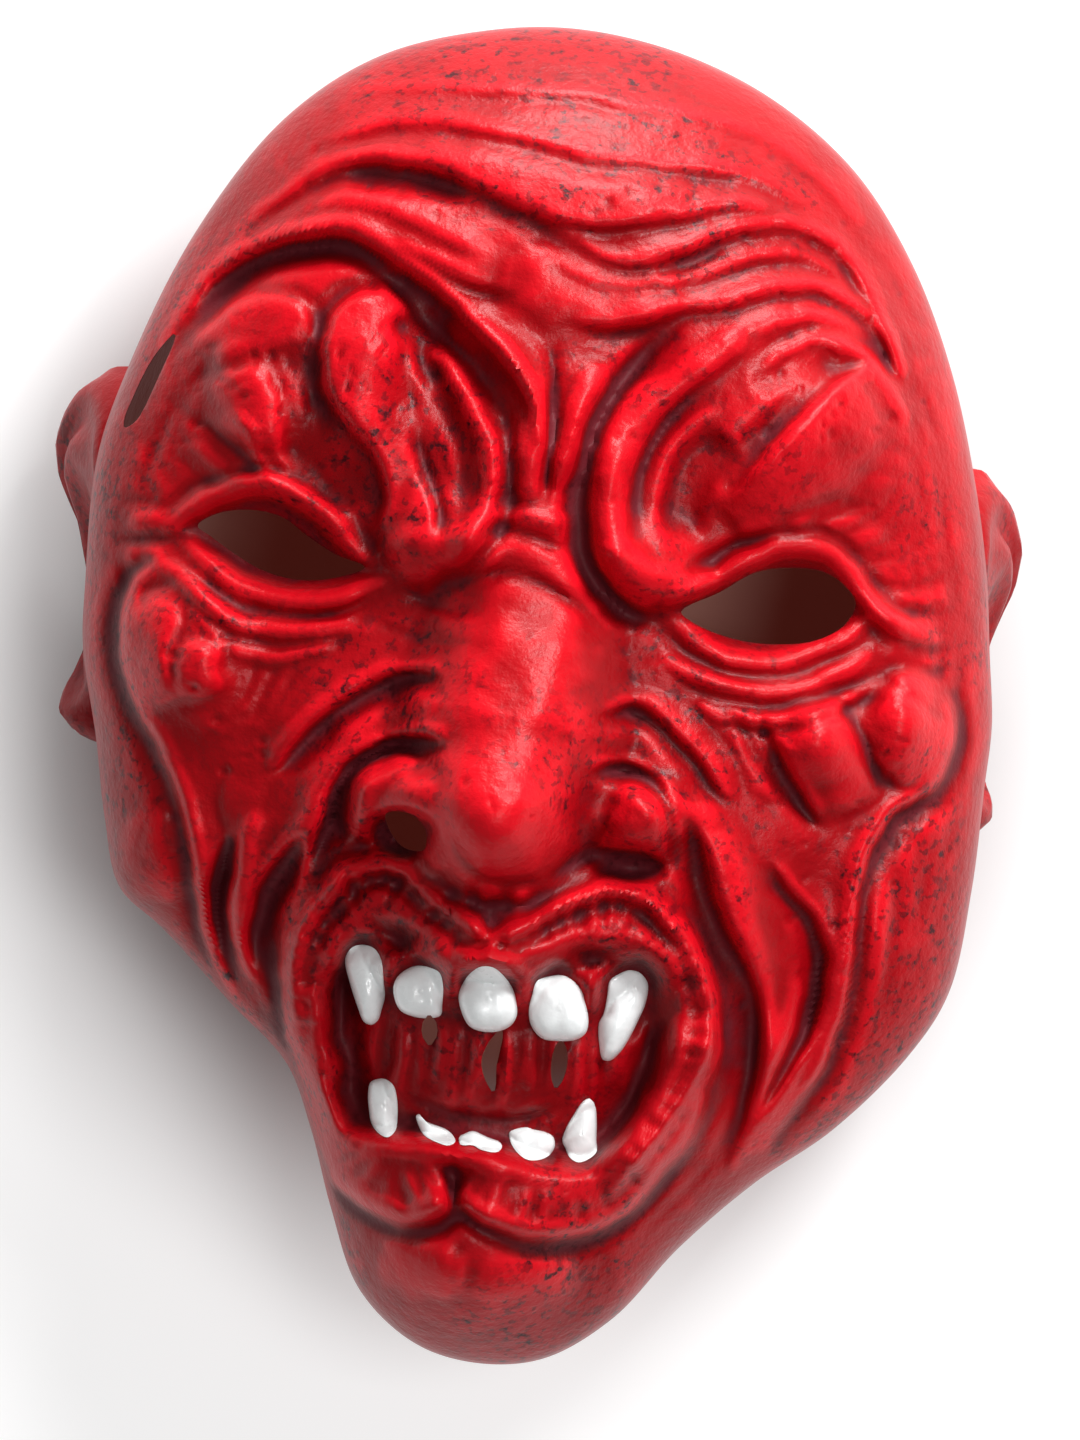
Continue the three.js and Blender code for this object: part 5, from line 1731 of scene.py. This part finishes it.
@dataclass(frozen=True)
class ToothPaint:
    """Thick white gloss paint, clouded with grey, that glows faintly, a painted light that lifts it in the
    mouth's shade.
    """

    white: tuple[float, float, float, float] = (0.75, 0.77, 0.77, 1)
    grey: tuple[float, float, float, float] = (0.58, 0.58, 0.58, 1)
    # Strength of the paint's painted light; the paint is no lamp.
    painted_glow: float = 0.13

    def material(self) -> bpy.types.Material:
        """Builds the finish.

        Returns:
            The material.
        """
        shader = Shader("tooth_paint")
        cloud = shader.noise(0.006, 3)
        colour = shader.mix(cloud.step(0.45, 0.75) * 0.5, self.white, self.grey)
        return shader.finish({
            "Base Color": colour,
            "Roughness": 0.22 + cloud * 0.12,
            "Coat Weight": 0.4,
            "Coat Roughness": 0.1,
            # Painted light: the paint glows faintly though it is no lamp.
            "Emission Color": self.white,
            "Emission Strength": self.painted_glow,
            "Normal": shader.bump(shader.noise(0.002, 2), 0.0003, 0.4),
        })


@dataclass(frozen=True)
class PaleFloor:
    """A matt light table: round the mask it glows, a painted light that pales the mask's shadow, and
    under the mask it is tinted brown, a painted shade that the holes show.

    The rises are distances from the mask's middle, in metres, where a change starts and ends.
    """

    tone: tuple[float, float, float, float] = (0.52, 0.52, 0.52, 1)
    # Painted shade: the floor under the mask, seen through its holes, is tinted brown.
    shade: tuple[float, float, float, float] = (0.78, 0.42, 0.34, 1)
    # Strength of the floor's painted light round the mask.
    painted_glow: float = 0.6
    tone_rise: Point = (0.076, 0.088)
    painted_glow_rise: Point = (0.07, 0.14)

    def material(self) -> bpy.types.Material:
        """Builds the finish.

        Returns:
            The material.
        """
        shader = Shader("pale_floor")
        place = shader.node("ShaderNodeTexCoord", output="Object")
        away = shader.node("ShaderNodeVectorMath", {"operation": "LENGTH"}, {0: place}, output="Value")
        # Painted shade: under the mask the floor takes the brown tint.
        colour = shader.mix(away.step(*self.tone_rise), self.shade, self.tone)
        # Painted light: the floor glows from a little way out, paling the mask's shadow.
        painted_glow = shader.mix(away.step(*self.painted_glow_rise), BLACK, WHITE)
        return shader.finish({"Base Color": colour, "Roughness": 0.8, "Specular IOR Level": 0.1,
                              "Emission Color": painted_glow, "Emission Strength": self.painted_glow})


@dataclass
class Studio:
    """Floor, soft lights and a camera that looks straight down."""

    middle: tuple[float, float]
    turn: float = 4.4
    distance: float = 3.0
    frame_height: float = 0.288
    focus_height: float = 0.05
    aim_height: float = 0.06
    floor_half: float = 6.0
    floor_height: float = -0.0005
    daylight: float = 0.2
    lights: tuple[tuple[str, tuple[float, float, float], float, float], ...] = (
        ("key", (0.8, 1.2, 1.15), 0.5, 34.0),
        ("front", (0.6, -0.1, 1.9), 0.6, 14.0),
        ("crown", (0.15, 1.9, 0.4), 0.7, 46.0))

    def camera(self) -> None:
        """Aims a long lens at the middle of the photograph's frame; the picture is turned a little."""
        data = bpy.data.cameras.new("camera")
        data.sensor_fit = "VERTICAL"
        data.sensor_height = 36
        data.lens = data.sensor_height * self.distance / self.frame_height
        data.clip_end = 20
        made = bpy.data.objects.new("camera", data)
        made.location = (*self.middle, self.distance + self.focus_height)
        made.rotation_euler = (0, 0, math.radians(self.turn))
        bpy.context.scene.collection.objects.link(made)
        bpy.context.scene.camera = made

    def light(self, name: str, place: tuple[float, float, float], size: float, watts: float) -> None:
        """A square soft box aimed at the mask.

        Args:
            name: The light's name.
            place: Where it stands, in metres.
            size: Its side, in metres.
            watts: Its power.
        """
        data = bpy.data.lights.new(name, "AREA")
        data.size = size
        data.energy = watts
        made = bpy.data.objects.new(name, data)
        made.location = place
        aim = np.array([0, 0, self.aim_height]) - np.array(place)
        yaw = math.atan2(aim[0], -aim[1])
        pitch = math.atan2(math.hypot(aim[0], aim[1]), -aim[2])
        made.rotation_euler = (pitch, 0, yaw + math.pi)
        bpy.context.scene.collection.objects.link(made)

    def floor(self) -> None:
        """A floor just under the rim, far larger than the picture."""
        half, low = self.floor_half, self.floor_height
        corners = np.array([[-half, -half, low], [half, -half, low], [half, half, low], [-half, half, low]])
        made = make_object("floor", corners, [[0, 1, 2, 3]])
        made.data.materials.append(PaleFloor().material())

    def build(self) -> None:
        """Sets up the world, the floor, the lights and the camera."""
        world = bpy.data.worlds.new("studio")
        world.use_nodes = True
        background = world.node_tree.nodes["Background"]
        background.inputs["Color"].default_value = WHITE
        background.inputs["Strength"].default_value = self.daylight
        bpy.context.scene.world = world
        bpy.context.scene.view_settings.view_transform = "Standard"
        self.floor()
        for light in self.lights:
            self.light(*light)
        self.camera()


def main() -> None:
    """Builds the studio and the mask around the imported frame."""
    logging.basicConfig(level=logging.INFO, format="%(name)s: %(message)s")
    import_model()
    low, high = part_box("mask")
    middle = np.array([low.x + high.x, low.y + high.y, 0]) / 2 / MM
    shift = middle - np.array([*DRAWING_CENTRE, 0])
    aim_x, aim_y = (shift[:2] + PICTURE_CENTRE) * MM
    Studio((float(aim_x), float(aim_y))).build()
    casting = Casting(Sculpture(), shift)
    mask = casting.build([RedLatex().material(), ToothPaint().material()])
    LOG.info("mask: %d corners, %d faces", len(mask.data.vertices), len(mask.data.polygons))
    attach(mask, "root")
    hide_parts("mask")


if __name__ == "__main__":
    main()
